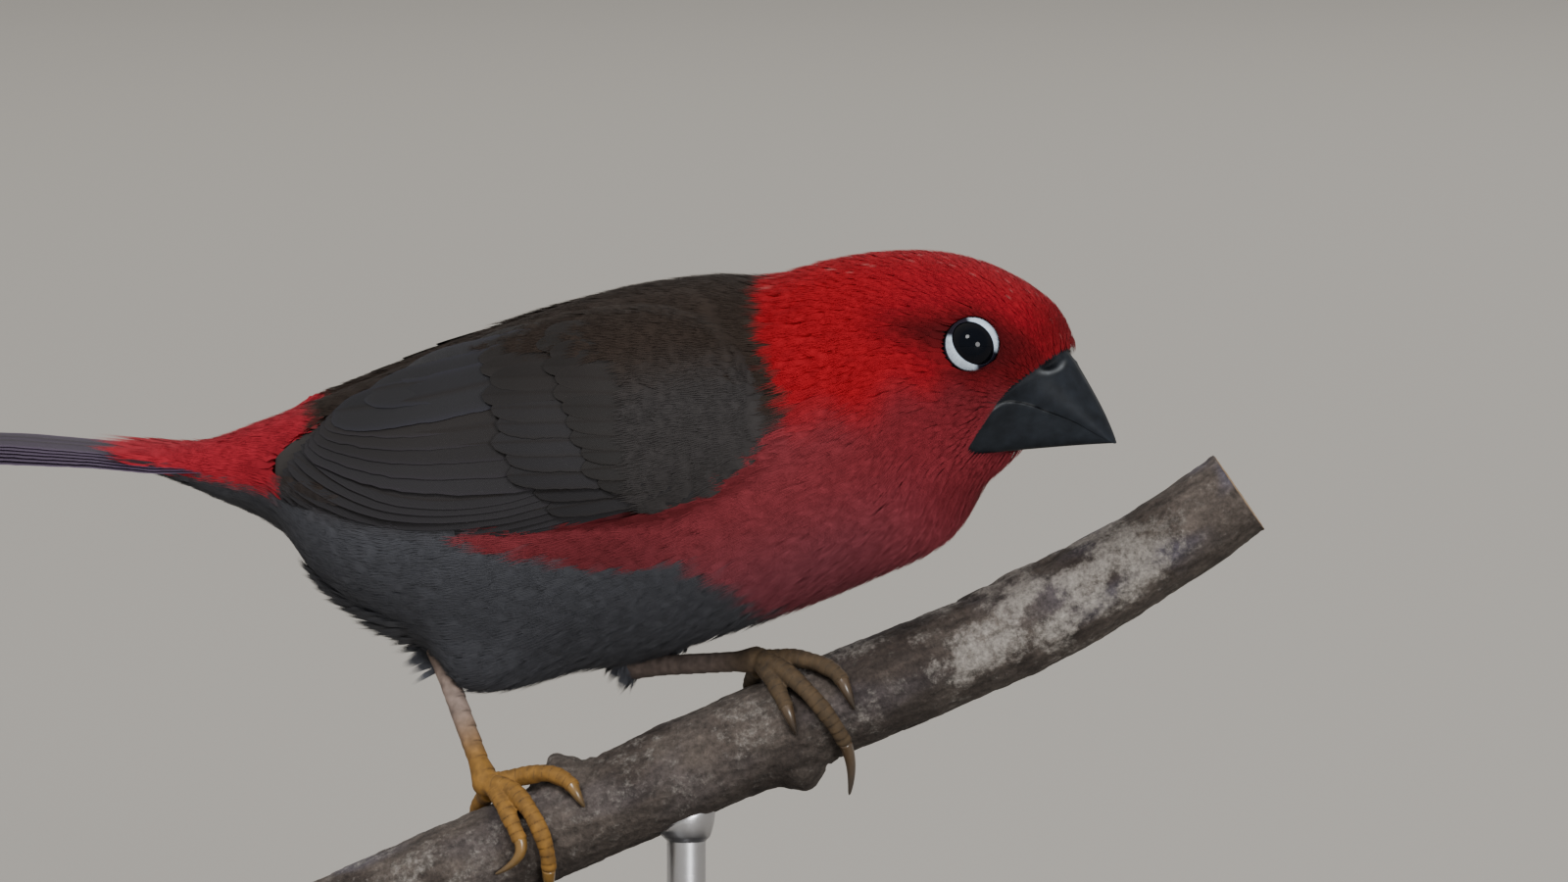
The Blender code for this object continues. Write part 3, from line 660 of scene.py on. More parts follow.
def bill_gap(p, q):
    """Millimetres that a place lies behind the edge of the feathers at the bill."""
    straight = body_straight(p, q)
    return bill_line(straight[..., 2]) - straight[..., 0]


def off_wing(edge):
    """A test whether places lie off both folded wings, or under their edge."""
    def clear(p, q):
        off = np.ones(len(p), bool)
        for side in WINGS:
            upper, lower, _ = wing_rows(side, p)
            turn = wrap(q) * side
            off &= ~((turn > upper + edge) & (turn < lower - edge) & (p > 1.2) & (p < 6.9))
        return off

    return clear


def on_head(p, q):
    """Behind the bill and off the lids."""
    return (bill_gap(p, q) > 0) & (off_eyes(p, q) > 2.75)


def on_mantle(p, q):
    """Between the folded wings, wider over the far one."""
    stations = (2.3, 3.4, 5, 6.9)
    edge = np.where(q < 0, np.interp(p, stations, (18, 26, 42, 50)), np.interp(p, stations, (32, 38, 46, 50)))
    return np.abs(q) < edge


def even(value):
    """The same value everywhere."""
    return lambda p, q: np.full(len(p), float(value))


def all_slate(p, q):
    """The slate of belly and thighs for every feather."""
    return np.broadcast_to(BELLY_SLATE, (len(p), 3))


def body_coat():
    """Contour feathers over head, neck, back, breast, belly, rump and vent, in pieces of their own."""
    crown = (0.03, (0.50, 0.22, 0.20), lambda p, q: (np.abs(wrap(q)) < 24) & (p > 7.6))
    breast = (0.012, (0.52, 0.22, 0.22), lambda p, q: (np.abs(wrap(q)) > 118) & (p > 6.5))
    # Area from and to, where, tries, spacing, length, width, depth, barbs, stray lift and flecks
    jobs = {
        "coat_face": ((10.6, -180), (13.5, 180), on_head, 260000,
                      lambda p, q: 0.34 - 0.09 * ease(11.2, 12.8, p),
                      lambda p, q: 2.0 - 0.6 * ease(11.5, 12.9, p), 0.44, 0.7, 5, 0.03, crown),
        "coat_crown": ((8.7, -180), (10.62, 180), on_head, 150000, even(0.36),
                       lambda p, q: 3.0 - 0.8 * ease(9.0, 10.6, p), 0.55, 0.9, 5, 0.04, crown),
        "coat_neck": ((6.75, -180), (8.75, 180), off_wing(6), 150000, even(0.47),
                      lambda p, q: 4.4 - 1.0 * ease(7.6, 8.7, p), 0.85, 1.2, 6, 0.06, crown),
        "coat_breast": ((5.0, 78), (6.85, 282), off_wing(-0.5), 90000, even(0.55), even(5.2),
                        1.15, 1.5, 7, 0.08, breast),
        "coat_belly": ((1.6, 70), (5.05, 290), off_wing(-1.5), 120000, even(0.62), even(6.0),
                       1.35, 1.6, 7, 0.10, None),
        "coat_mantle": ((2.3, -50), (6.9, 50), on_mantle, 100000, even(0.55), even(5.2),
                        1.4, 1.3, 7, 0.04, None),
        "coat_rump": ((-0.6, -180), (2.7, 180), off_wing(5), 100000, even(0.55),
                      lambda p, q: 4.8 + 1.7 * (1 - ease(-0.2, 1.2, p)), 1.3, 1.0, 7, 0.08, None),
    }
    for index, (name, job) in enumerate(jobs.items()):
        low, high, wanted, tries, spacing, length, width, depth, barbs, stray, fleck = job
        head = low[0] > 8

        def crowded(p, q):
            """The feathers stand closer near the bill."""
            return spacing(p, q) * (0.66 + 0.34 * ease(0.0, 1.0, bill_gap(p, q)))

        p, q, rng = scatter(plumage, low, high, crowded, wanted, tries, 100 + index)
        depth = depth * np.clip(0.45 + 0.2 * (p + 1.5), 0.45, 1)
        size = 0.55 + 0.45 * ease(0.0, 1.4, bill_gap(p, q))
        vanes = contour_feathers(plumage, p, q, rng, length(p, q) * size, width * size, depth * size, barbs,
                                 markings, stray=stray, comb=comb_round_eyes if head else None, fleck=fleck)
        feather_piece(name, vanes, SOFT, 0.85 if head else 0.7)

    # Loose feathers at the vent
    rng = np.random.default_rng(5)
    p, q = rng.uniform(2.0, 3.2, 220), rng.uniform(-175, -135, 220)
    vanes = contour_feathers(plumage, p, q, rng, rng.uniform(4.0, 6.0, 220), 1.1, 0.6, 9, markings, stray=0.25,
                             flare=0.8)
    feather_piece("coat_vent", vanes, SOFT)

    # Wisps behind the near heel: p is millimetres forwards of the shank, q hundredths of the way down it
    heel, foot = (np.array(LEGS[-1][k]) for k in ("heel", "foot"))

    def behind_shank(p, q, lift=0.0):
        p, q, lift = (x[..., None] for x in np.broadcast_arrays(np.asarray(p, float), q, lift))
        sag = np.where(p < 0, 0.05 * p**2, 0)
        on_shank = heel + (foot - heel) * q / 100
        return on_shank + p * (0.97, 0.05, 0.12) - lift * (0, 1.0, 0.3) - sag * (0, 0, 1.0)

    p, q = rng.uniform(0.2, 1.2, 34), rng.uniform(-6, 20, 34)
    vanes = contour_feathers(behind_shank, p, q, rng, rng.uniform(2.2, 4.6, 34), 0.75, 0.2, 9, all_slate,
                             stray=0.7, flare=0.1)
    feather_piece("coat_heel", vanes, SOFT)


# Flight feathers and coverts

def long_vanes(specs, surface, rows, rng):
    """Large vanes from specs: root and tip (p, q), bow, lift at both, widths either side, point, colours."""
    columns = 11
    every = []
    cells = math.ceil(math.sqrt(len(specs)))
    v, u = np.linspace(0, 1, rows), np.linspace(-1, 1, columns)[None]
    down = v[:, None]
    for index, spec in enumerate(specs):
        (p0, q0), (p1, q1), (lift0, lift1) = spec["root"], spec["tip"], spec["lift"]
        p = p0 + (p1 - p0) * v
        q = spec["course"](p, v) if "course" in spec else q0 + (q1 - q0) * v
        q = q + spec.get("bow", 0) * 4 * v * (1 - v)
        lift = lift0 + (lift1 - lift0) * v
        spine = surface(p, q, lift)
        ahead = unit(np.gradient(spine, axis=0))
        out = unit(surface(p, q, lift + 0.3) - spine)
        across = unit(np.cross(out, ahead))
        length = np.linalg.norm(np.diff(spine, axis=0), axis=1).sum()
        tip = spec["point"] * 0.5
        round_off = np.clip(1 - np.clip((v - 1 + tip) / tip, 0, 1) ** 2.2, 0, 1) ** 0.5
        half = np.where(u < 0, *spec["widths"]) * (np.minimum(1, (0.35 + 3.2 * v)) * round_off)[:, None]
        reach = u * (half * (1 + rng.normal(0, 0.02, (rows, 1)) * np.abs(u) ** 4))
        sag = reach**2 / (2 * spec.get("round", 18.0))
        height = 0.05 * mound(u, 0.10) - sag + spec.get("tilt", 0.0) * reach
        grid = spine[:, None] + reach[..., None] * across[:, None] + height[..., None] * out[:, None]
        edge_share = np.clip((np.abs(u) - 1 + PALE_EDGE) / PALE_EDGE, 0, 1) ** 2 + 0 * down
        edge_share = np.maximum(edge_share, ease(0.93, 1.0, down) * 0.6)
        colour = blend(np.broadcast_to(spec["colour"], grid.shape), spec["edge"], edge_share * 0.7)
        colour = blend(colour, spec["shaft"], (mound(u, 0.07) + 0 * down) * 0.6) * rng.normal(1, 0.05)
        colour = np.clip(colour * (1 - 0.22 * ease(0.45, 0.95, v))[:, None, None], 0, 1)
        a = index * rows * columns + (np.arange(rows - 1)[:, None] * columns + np.arange(columns - 1)).ravel()
        faces = np.stack((a, a + 1, a + columns + 1, a + columns), 1)
        lie = np.stack(np.broadcast_arrays(reach, down * length), -1)
        cell = np.array((index % cells, index // cells)) / cells
        patch = np.stack(np.broadcast_arrays((u + 1) / 2, down), -1) * 0.9 / cells + cell + 0.05 / cells
        outs = np.broadcast_to(out[:, None], grid.shape)
        every.append([x.reshape(-1, x.shape[-1]) for x in (grid, faces, colour, lie, patch, outs)])
    points, faces, tint, lie, bake, outs = (np.concatenate(x) for x in zip(*every))
    a, b, c = (points[faces[:, k]] for k in range(3))
    wrong = np.einsum("ij,ij->i", np.cross(b - a, c - a), outs[faces[:, 0]]) < 0
    return points, np.where(wrong[:, None], faces[:, ::-1], faces), tint, lie, bake, outs


def folded_wing(side):
    """Primaries, secondaries, tertials, alula and covert rows of one wing, laid from the lowest up."""
    rng = np.random.default_rng(40 + side)
    near = side < 0
    specs = []

    def edge_at(station, share):
        upper, lower, _ = wing_rows(side, station)
        return upper + (lower - upper) * share

    def share_at(station, degrees):
        upper, lower, _ = wing_rows(side, station)
        return (degrees - upper) / (lower - upper)

    def add(root, tip, lifts, widths, point, colour, edge=(0.023, 0.020, 0.020), bow=0, tilt=0, **more):
        """A feather whose widths are those of its upper and its lower vane."""
        first, last = share_at(*root), share_at(*tip)
        if not near:
            # Near the spine they are narrow and lie low, so that the mantle covers them
            widths = (widths[1], min(widths[0], 0.5 + 2.4 * last))
            lifts = (lifts[0], lifts[1] - 0.3 * (last < 0.2))
            more["course"] = lambda p, v: side * edge_at(p, first + (last - first) * v)
        specs.append({"root": (root[0], root[1] * side), "tip": (tip[0], tip[1] * side), "lift": lifts,
                      "widths": widths, "point": point, "bow": bow * side, "tilt": tilt * side,
                      "colour": np.array(colour), "edge": edge, "shaft": (0.014, 0.011, 0.010), **more})

    # Nine primaries, the outermost first and lowest
    for k in range(9):
        root, tip = 6.1 - 0.10 * k, (1.42, 1.25, 1.22, 1.27, 1.36, 1.46, 1.56, 1.68, 1.80)[k]
        tip_share = (0.93, 0.90, 0.82, 0.72, 0.63, 0.53, 0.44, 0.36, 0.29)[k]
        bow = (1.0 + 1.7 * k) * (1 if near else 0.4)
        add((root, edge_at(root, 0.94 - 0.032 * k)), (tip, edge_at(tip, tip_share)),
            (-0.9, -0.75 + 0.075 * k), (2.6, 0.95), 0.42, WING_SLATE, (0.024, 0.022, 0.026), bow, 0.02)
    # Six secondaries and three tertials
    for k in range(6):
        root, tip = 5.35 - 0.12 * k, 1.88 + 0.06 * k
        bow = (7 - 0.6 * k) * (1 if near else 0.7)
        add((root, edge_at(root, 0.72 - 0.07 * k)), (tip, edge_at(tip, 0.28 - 0.04 * k)),
            (-0.75, -0.08 + 0.05 * k), (2.8, 1.9), 0.30, blend(WING_SLATE, WING_BROWN, k / 5),
            (0.024, 0.021, 0.026), bow, 0.02)
    # The tertials' pale bluish edges are their own pale edges with a painted sheen along the wing's upper edge
    for k in range(3):
        root, tip = 4.9 - 0.15 * k, 2.2 + 0.40 * k
        add((root, edge_at(root, 0.30 - 0.06 * k)), (tip, edge_at(tip, 0.08 - 0.03 * k)),
            (-0.45, 0.26 + 0.07 * k), (2.9, 3.0), 0.45, (0.0176, 0.0172, 0.0196), (0.0245, 0.0240, 0.0330),
            3, 0.02, round=18 if near else 8)
    # Primary coverts and alula along the lower edge
    for k in range(6):
        root = 6.35 - 0.10 * k
        tip = root - 1.75
        add((root, edge_at(root, 0.93 - 0.05 * k)), (tip, edge_at(tip, 0.94 - 0.075 * k)),
            (-0.65, -0.38 + 0.02 * k), (1.1, 1.3), 0.5, WING_SLATE)
    for k in range(3):
        add((6.75 - 0.1 * k, edge_at(6.75, 0.86 - 0.1 * k)), (5.75 - 0.25 * k, edge_at(5.7, 0.95 - 0.05 * k)),
            (-0.45, -0.12 + 0.05 * k), (1.0, 1.1), 0.5, WING_SLATE)
    # Greater and median coverts, with rounded ends at slightly uneven lengths
    for k in range(11):
        share, uneven = 0.82 - 0.074 * k, 0.06 * math.sin(k * 2.3)
        add((5.85 - 0.08 * k, edge_at(5.6, share)), (4.25 - 0.05 * k + uneven, edge_at(4.2, share - 0.03)),
            (-0.5, 0.0 + 0.02 * k), (1.8, 1.6), 0.62, blend(WING_SLATE, WING_BROWN, ease(2, 7, k)),
            (0.0205, 0.0178, 0.0175))
    for k in range(12):
        share, uneven = 0.86 - 0.068 * k, 0.06 * math.sin(k * 2.9 + 1)
        add((6.20 - 0.07 * k, edge_at(6.0, share)), (5.10 - 0.06 * k + uneven, edge_at(5.1, share - 0.02)),
            (-0.35, 0.08 + 0.02 * k), (1.6, 1.4), 0.75,
            blend((0.021, 0.0195, 0.0195), WING_BROWN, ease(2, 8, k)), (0.0205, 0.0175, 0.0165))
    feather_piece(f"wing_feathers_{SIDE_NAMES[side]}", long_vanes(specs, plumage, 34, rng), STIFF, 0.72)

    # Lesser coverts and scapulars as small vanes over the shoulder
    def wanted(p, q):
        share = share_at(p, q * side)
        lesser = (p > 5.75) & (share > 0.0) & (share < 0.97)
        scapular = (p > 3.9) & (share < 0.30 - 0.10 * (5.8 - p)) & (share > -0.35)
        return lesser | scapular

    def brown(p, q):
        return blend(MANTLE_BROWN, SHOULDER_BROWN, ease(44, 66, np.abs(wrap(q))))

    turns = sorted((18 * side, 97 * side))
    p, q, rng = scatter(plumage, (3.9, turns[0]), (7.12, turns[1]), even(0.6), wanted, 60000, 60 + side)
    length = 3.4 + 1.8 * (1 - ease(5.2, 6.2, p))
    vanes = contour_feathers(plumage, p, q, rng, length, 1.5, 0.4, 7, brown, stray=0.03, flare=0.28)
    feather_piece(f"shoulder_feathers_{SIDE_NAMES[side]}", vanes, SOFT, 0.8)

    # The dark underside of the wing closes the gaps between its feathers
    table = np.array(WINGS[side])

    def shell(u, v):
        station, upper, lower, thick = spline(table, v * (len(table) - 1)).T
        share = np.where(u < 0.5, u * 2, 2 - u * 2)
        degrees = side * (upper + 1.5 + (lower - upper - 3) * share)
        swell = np.where(u < 0.5, 0.2 + np.maximum(thick - 1.0, 0.1) * np.sin(math.pi * share) ** 0.6, 0.0)
        return bare_body(station, degrees, 0.15 + swell * (ease(0, 0.04, v) * (1 - ease(0.96, 1, v))))

    name = f"wing_{SIDE_NAMES[side]}"
    piece(name + "_underside", moulded(48, 60, shell), UNDER, (name,))


def tail_feathers():
    """Six pairs of tail feathers: the middle pair on top, each pair outwards a little lower and shorter."""
    def tail(p, q, lift=0.0):
        """p is the bird's x and q its y."""
        p, q, lift = np.broadcast_arrays(np.asarray(p, float), q, lift)
        z = np.interp(-p, (38, 46, 52, 62, 72, 80), (1.9, 2.6, 3.4, 4.2, 4.5, 4.5)) - 0.011 * q**2 + lift
        return from_bird(np.stack((p, q, z), -1))

    specs = [{"root": (-37.0, side * (0.5 + 0.35 * k)), "widths": (2.9, 2.9), "bow": side * 0.1 * k,
              "tip": (-80.6 + (0.0, 0.3, 0.9, 1.8, 3.0, 4.6)[k], side * (1.6 + 1.08 * k)), "point": 0.16,
              "lift": (-0.12 * k, -0.16 * k - 0.04 * (side > 0)), "colour": np.array((0.036, 0.025, 0.044)),
              "edge": (0.115, 0.078, 0.140), "shaft": (0.012, 0.008, 0.008), "round": 30}
             for k in range(5, -1, -1) for side in (-1, 1)]
    vanes = long_vanes(specs, tail, 60, np.random.default_rng(7))
    feather_piece("tail_feathers", vanes, STIFF, 0.3, ("tail",))


# Bill and eyes

BILL_RUN = np.array(BILL_TIP) - BILL_GAPE
BILL_ASIDE = np.array((-BILL_RUN[1], BILL_RUN[0])) / np.hypot(*BILL_RUN)


def edge_rise(share):
    """How far the bill's cutting edges stand over the line from gape to tip."""
    rises = np.array((0.0, 1.55, 1.90, 1.95, 1.78, 1.62, 1.45, 1.2, 0.8, 0.4, 0.0))[:, None]
    return spline(rises, np.clip(share, 0, 1) * (len(rises) - 1))[..., 0]


def off_nostril(rel):
    """Distance from a nostril, an oval slit that slopes up forwards, in shares of its half width."""
    along, over = rel[..., 0] * 0.93 + rel[..., 2] * 0.37, rel[..., 2] * 0.93 - rel[..., 0] * 0.37
    return np.sqrt((along / 1.05) ** 2 + (over / 0.62) ** 2 + (rel[..., 1] / 1.3) ** 2)


def bill_half(upper):
    """A mandible with its ridge, cutting edge and, on the upper one, the nostrils."""
    def shape(u, v):
        share = np.clip(v, 0, 1) ** 1.15
        start = BILL_BROW if upper else BILL_CHIN
        along, rise = share[:, None], edge_rise(share)[:, None]
        edge = BILL_GAPE + BILL_RUN * along + BILL_ASIDE * rise
        run = np.array(BILL_TIP) - start
        bulge = (0.15 + 0.25 * share if upper else 0.0) * 4 * share * (1 - share)
        top = start + run * along + np.array((-run[1], run[0])) / np.hypot(*run) * bulge[:, None]
        half = 6.0 * (1 - share) ** 0.72 * (1 - 0.18 * share) + 0.22 * share + 0.8 * mound(share, 0.14)
        # The outer surface runs from one cutting edge over the ridge to the other, and back inside
        outer = u < 0.72
        angle = math.pi * np.where(outer, u / 0.72, (1 - u) / 0.28)
        over, across = np.sin(angle), np.cos(angle)
        if upper:
            over = over**0.90
        else:
            # Flat sides and a flat underside meet in round corners, squarest at the root
            square = 2.2 + 6.0 * (1 - share) ** 1.5
            size = (np.abs(over) ** square + np.abs(across) ** square) ** (-1 / square)
            over, across = over * size, across * size
        over = np.where(outer, over, over * (0.25 if upper else 0.3) * (1 - share))
        y = half * across * np.where(outer, 1, 0.97) * (1 if upper else 0.985)
        keel = 0.25 * mound(y, 0.7) * ease(0.0, 0.1, share) * (1 - share) * (1 if upper else 0)
        x, z = (edge + (top - edge) * over[:, None] + keel[:, None] * 0.7).T
        # A swollen flange along the cutting edge
        y = y + np.sign(y) * mound(over, 0.12) * (0.13 if upper else 0.02) * outer * (1 - share)
        points = np.stack((x, y, z if upper else z + 0.05), -1)
        for centre in NOSTRILS if upper else ():
            off = off_nostril(points - centre)
            inwards = unit(np.array((44.0, 0.0, 8.0)) - centre)
            sink = 0.8 * np.exp(-(off**2) * 1.4) - 0.07 * mound(off - 1.45, 0.35)
            points = points + inwards * sink[:, None]
        # The root tucks in under the feathers
        points[:, 0] -= 1.6 * (1 - ease(0.0, 0.03, v))
        middle = (46.8, 0.0, 10.0) if upper else (42.8, 0.0, 6.0)
        return from_bird(turned(np.where((v < 1e-6)[:, None], middle, points)))

    name = "bill_upper" if upper else "bill_lower"
    mesh = moulded(96, 90, shape)
    level = turned((mesh_points(mesh) - BIRD_PLACE) @ BIRD_TURN, -1.0)
    profile = level[:, (0, 2)] - BILL_GAPE
    share = profile @ BILL_RUN / (BILL_RUN @ BILL_RUN)
    above = profile @ BILL_ASIDE - edge_rise(share)
    worn = roughness_at(level, 1.4, 4, 3.0)
    # The upper mandible is painted a little darker than the lower one, to offset the light falling on its top
    tone = np.ones((len(level), 3)) * ((0.0108, 0.0134, 0.0180) if upper else (0.0118, 0.0146, 0.0192))
    # The cutting edge is painted pale as a glint, broken up by noise, and the rim under each nostril is painted
    # pale as a highlight
    pale = mound(above + 0.05, 0.13) * ease(-0.02, 0.05, share) * (1 - ease(0.25, 0.62, share))
    pale = pale * np.clip(0.40 + 1.0 * worn, 0, 0.8)
    for centre in NOSTRILS if upper else ():
        off = off_nostril(level - centre)
        below = ease(0.0, 0.7, (level - centre) @ np.array((0.3, 0.0, -1.0)))
        pale = np.maximum(pale, 0.5 * below * mound(off - 1.45, 0.28))
        # The nostril is painted near black, as shade in its pit
        tone = blend(tone, (0.002, 0.002, 0.002), np.exp(-(off**2) * 1.2))
    tone = blend(tone, (0.16, 0.17, 0.18), pale)
    set_tint(mesh, np.clip(tone * (1 + 0.4 * worn)[:, None], 0, 1))
    piece(name + "_horn", mesh, HORN, (name,))


def eyeball(side):
    """One eye, and its lids: thin skin on the ball round an oval opening that slopes down forwards."""
    centre, axis, up, forwards = EYES[side]

    def round_axis(turn, out, height):
        return centre + height[:, None] * axis + out[:, None] * (
            np.cos(turn)[:, None] * forwards + np.sin(turn)[:, None] * up)

    def ball(u, v):
        fall = math.pi * v
        r = EYE_RADIUS * (1 + 0.05 * mound(fall, 0.75))
        return round_axis(2 * math.pi * u, r * np.sin(fall), r * np.cos(fall))

    def opening(turn):
        slope = turn - math.radians(LID_SLOPE)
        return LID_SHORT * LID_LONG / np.hypot(LID_SHORT * np.cos(slope), LID_LONG * np.sin(slope))

    def lid(u, v):
        turn = 2 * math.pi * u
        inner = opening(turn)
        share, rise = spline(LID_SECTION, v * (len(LID_SECTION) - 1)).T
        r = inner + (LID_REACH - inner) * share
        on_ball = np.sqrt(np.maximum((EYE_RADIUS * 1.01) ** 2 - np.minimum(r, 2.6) ** 2, 0))
        on_ball = on_ball - np.maximum(r - 2.6, 0) * 1.2
        crumple = 0.02 * np.sin(turn * 31 + 4 * np.sin(turn * 5)) * np.sin(math.pi * v)
        return round_axis(turn, r + crumple, on_ball + rise + crumple)

    mesh = moulded(48, 40, ball)
    fall = np.arccos(np.clip(unit(mesh_points(mesh) - centre) @ axis, -1, 1)) * EYE_RADIUS
    iris = blend((0.0009, 0.0018, 0.0042), (0.0026, 0.0030, 0.0050), ease(1.35, 1.6, fall))
    set_tint(mesh, blend(iris, (0.002, 0.002, 0.003), ease(2.1, 2.5, fall)))
    piece(f"eyeball_{SIDE_NAMES[side]}", mesh, EYE, (f"eye_{SIDE_NAMES[side]}",))

    # The lids are white above and below the opening
    mesh = moulded(144, 22, lid)
    rel = mesh_points(mesh) - centre
    turn = np.arctan2(rel @ up, rel @ forwards)
    inner = opening(turn)
    band = (np.hypot(rel @ up, rel @ forwards) - inner) / (LID_REACH - inner)
    across = np.abs(np.sin(turn - math.radians(LID_SLOPE)))
    white = ease(0.42, 0.62, across) * ease(0.05, 0.16, band) * (1 - ease(0.84, 0.98, band))
    set_tint(mesh, blend((0.010, 0.009, 0.018), (0.60, 0.72, 0.86), white))
    piece(f"lids_{SIDE_NAMES[side]}", mesh, LID)


# Legs, feet and claws

def sweep(path, radii, tops, flatten=1.0):
    """A shape for moulded(): a tube round a path, each ring turned so that u = 0.25 lies at its top."""
    ahead = unit(np.gradient(path, axis=0))
    right = unit(np.cross(ahead, tops))
    top = np.cross(right, ahead)

    def shape(u, v):
        at = v * (len(path) - 1)
        r = np.maximum(spline(radii[:, None], at), 0) * np.where(at_ends(v), 0, 1)[:, None]
        angle = (2 * math.pi * u)[:, None]
        around = np.cos(angle) * unit(spline(right, at)) + flatten * np.sin(angle) * unit(spline(top, at))
        return spline(path, at) + r * around

    return shape


def toe_centres(leg, toe):
    """A toe's centre line over the bark and the directions of its top, from its root to its claw."""
    places = np.linspace(0, 1, 40)
    reach, turn, bow = toe[:3]
    lift = TOE_RADIUS + 0.18 + (1.2 if turn > 0 else 0.0) * (1 - places) ** 2
    forwards = reach * np.sin(places * math.pi / 2) + bow * 4 * places * (1 - places)
    path = on_bark(leg["along"] + forwards, turn * places, lift)
    return places, path, unit(path - branch_frame(leg["along"] + forwards)[0])


def leg_lines(side):
    """The centre lines, radii and tops of a leg's shank and toes."""
    leg = LEGS[side]
    heel, foot, knee = (np.array(leg[k], float) for k in ("heel", "foot", "knee"))
    normal = branch_frame(leg["along"])[2]
    # Shin, heel and shank in one line, rounded at the heel
    corner = [heel + unit(knee - heel) * 4.0, heel + unit(knee - heel) * 1.2, heel + unit(foot - heel) * 0.9,
              *[heel + (foot - heel) * k for k in (0.3, 0.5, 0.7, 0.88, 1.0)]]
    share = np.linspace(0, 1, 46)
    line = spline(np.array(corner), np.linspace(0, len(corner) - 1, len(share)))
    radii = 1.02 + 0.40 * mound(share - 0.22, 0.10) + 0.45 * ease(0.80, 1.0, share)
    front = unit(np.cross(np.cross(unit(foot - heel), (1, 0, 0)), unit(foot - heel)))
    lines = {"shank": (line, radii, np.broadcast_to(front, line.shape))}
    for name, toe in leg["toes"].items():
        places, path, tops = toe_centres(leg, toe)
        start = foot if toe[1] > 0 else foot - normal * 0.9
        pull = (1 - ease(0.0, 0.30, places))[:, None]
        path = path * (1 - pull) + (start + (path - path[0])) * pull
        joints = 0.5 + 0.5 * np.cos(2 * math.pi * places * (3 if name != "back" else 2))
        radii = TOE_RADIUS * (1.14 - 0.30 * places + 0.10 * joints) * (1 - 0.75 * ease(0.955, 1.0, places))
        lines[name] = (path, radii, tops)
    return lines


def scaly_legs():
    """Both legs as closed skins with overlapping plates in front and pads beneath. Returns their meshes."""
    made = []
    for side in (-1, 1):
        lines = leg_lines(side)
        foot = np.array(LEGS[side]["foot"], float)

        def palm(u, v):
            turn, fall = 2 * math.pi * u, math.pi * v
            ball = np.stack((np.sin(fall) * np.cos(turn), np.sin(fall) * np.sin(turn), np.cos(fall)), -1)
            return foot + ball * (1.5, 1.45, 1.35)

        tubes = [moulded(26, 70, sweep(*line)) for line in lines.values()]
        mesh = shrink_wrapped(joined("leg", [*tubes, moulded(28, 18, palm)]), 0.14, 2)
        points, normals = mesh_points(mesh), mesh_normals(mesh)
        best, rise, groove, down = np.array((1e9, 0, 0, 0))[:, None] * np.ones(len(points))
        for name, line in lines.items():
            shank = name == "shank"
            path, radii, tops = (x[10:] if shank else x for x in line)
            steps = np.concatenate(((0,), np.cumsum(np.linalg.norm(np.diff(path, axis=0), axis=1))))
            gap = np.linalg.norm(points[:, None] - path[None], axis=-1)
            k = gap.argmin(1)
            distance = gap[np.arange(len(points)), k] / radii[k]
            ahead = unit(np.gradient(path, axis=0))
            along = steps[k] + np.einsum("ij,ij->i", points - path[k], ahead[k])
            top_here = ease(-0.15, 0.35, np.einsum("ij,ij->i", normals, tops[k]))
            phase = (along / (1.75 if shank else 0.85)) % 1
            scute = (phase**0.7) * (1 - ease(0.86, 1.0, phase))
            pads = np.sin(along / 0.34 + 3 * np.sin(along)) * 0.5
            height = top_here * scute * (0.10 if shank else 0.085) + (1 - top_here) * pads * 0.035
            line_here = top_here * ease(0.86, 0.97, phase) * (1 - ease(0.97, 1.0, phase))
            down_here = 1 - along / steps[-1] if shank else np.full(len(points), -0.1)
            closer = distance < best
            for table, values in ((best, distance), (rise, height), (groove, line_here), (down, down_here)):
                table[closer] = values[closer]
        set_points(mesh, points + normals * rise[:, None])
        if side < 0:
            # The near shank turns pale pink towards its top: its own colour, lifted partly as a painted highlight
            colour = blend(LEG_OCHRE, (0.190, 0.140, 0.118), ease(0.12, 0.55, down))
        else:
            # The far leg is painted darker and greyer than the near one, as shade under the body
            shaded = np.array(LEG_OCHRE) * (0.30, 0.38, 1.1)
            colour = blend(shaded, (0.104, 0.078, 0.070), ease(-0.1, 0.4, down) * 0.85)
        grain = roughness_at(points, 0.9, 3, side)
        set_tint(mesh, np.clip(colour * (1 + 0.42 * grain - 0.5 * groove)[:, None], 0, 1))
        made.append(mesh)
    return made


def claws():
    """Curved claws from the last joint of each toe to the bark."""
    for side, leg in LEGS.items():
        for name, toe in leg["toes"].items():
            _, path, tops = toe_centres(leg, toe)
            heading = unit(path[-1] - path[-3])
            tip = on_bark(leg["along"] + toe[3], toe[4], toe[5] + 0.40)
            start = path[-1] - heading * 0.5
            middle = start + heading * (np.linalg.norm(tip - start) * 0.50) + tops[-1] * 0.35
            t = np.linspace(0, 1, 24)[:, None]
            line = start * (1 - t) ** 2 + middle * 2 * t * (1 - t) + tip * t**2
            radii = 0.66 * (1 - t[:, 0]) ** 0.62 + 0.06
            mesh = moulded(20, 34, sweep(line, radii, np.broadcast_to(tops[-1], line.shape), 1.12))
            reach = np.linalg.norm(mesh_points(mesh) - start, axis=1) / np.linalg.norm(tip - start)
            set_tint(mesh, blend(*CLAW_COLOURS[side], ease(0.1, 0.95, reach)))
            piece(f"{name}_claw_{SIDE_NAMES[side]}", mesh, CLAW, (f"claw_{SIDE_NAMES[side]}_{name}",))


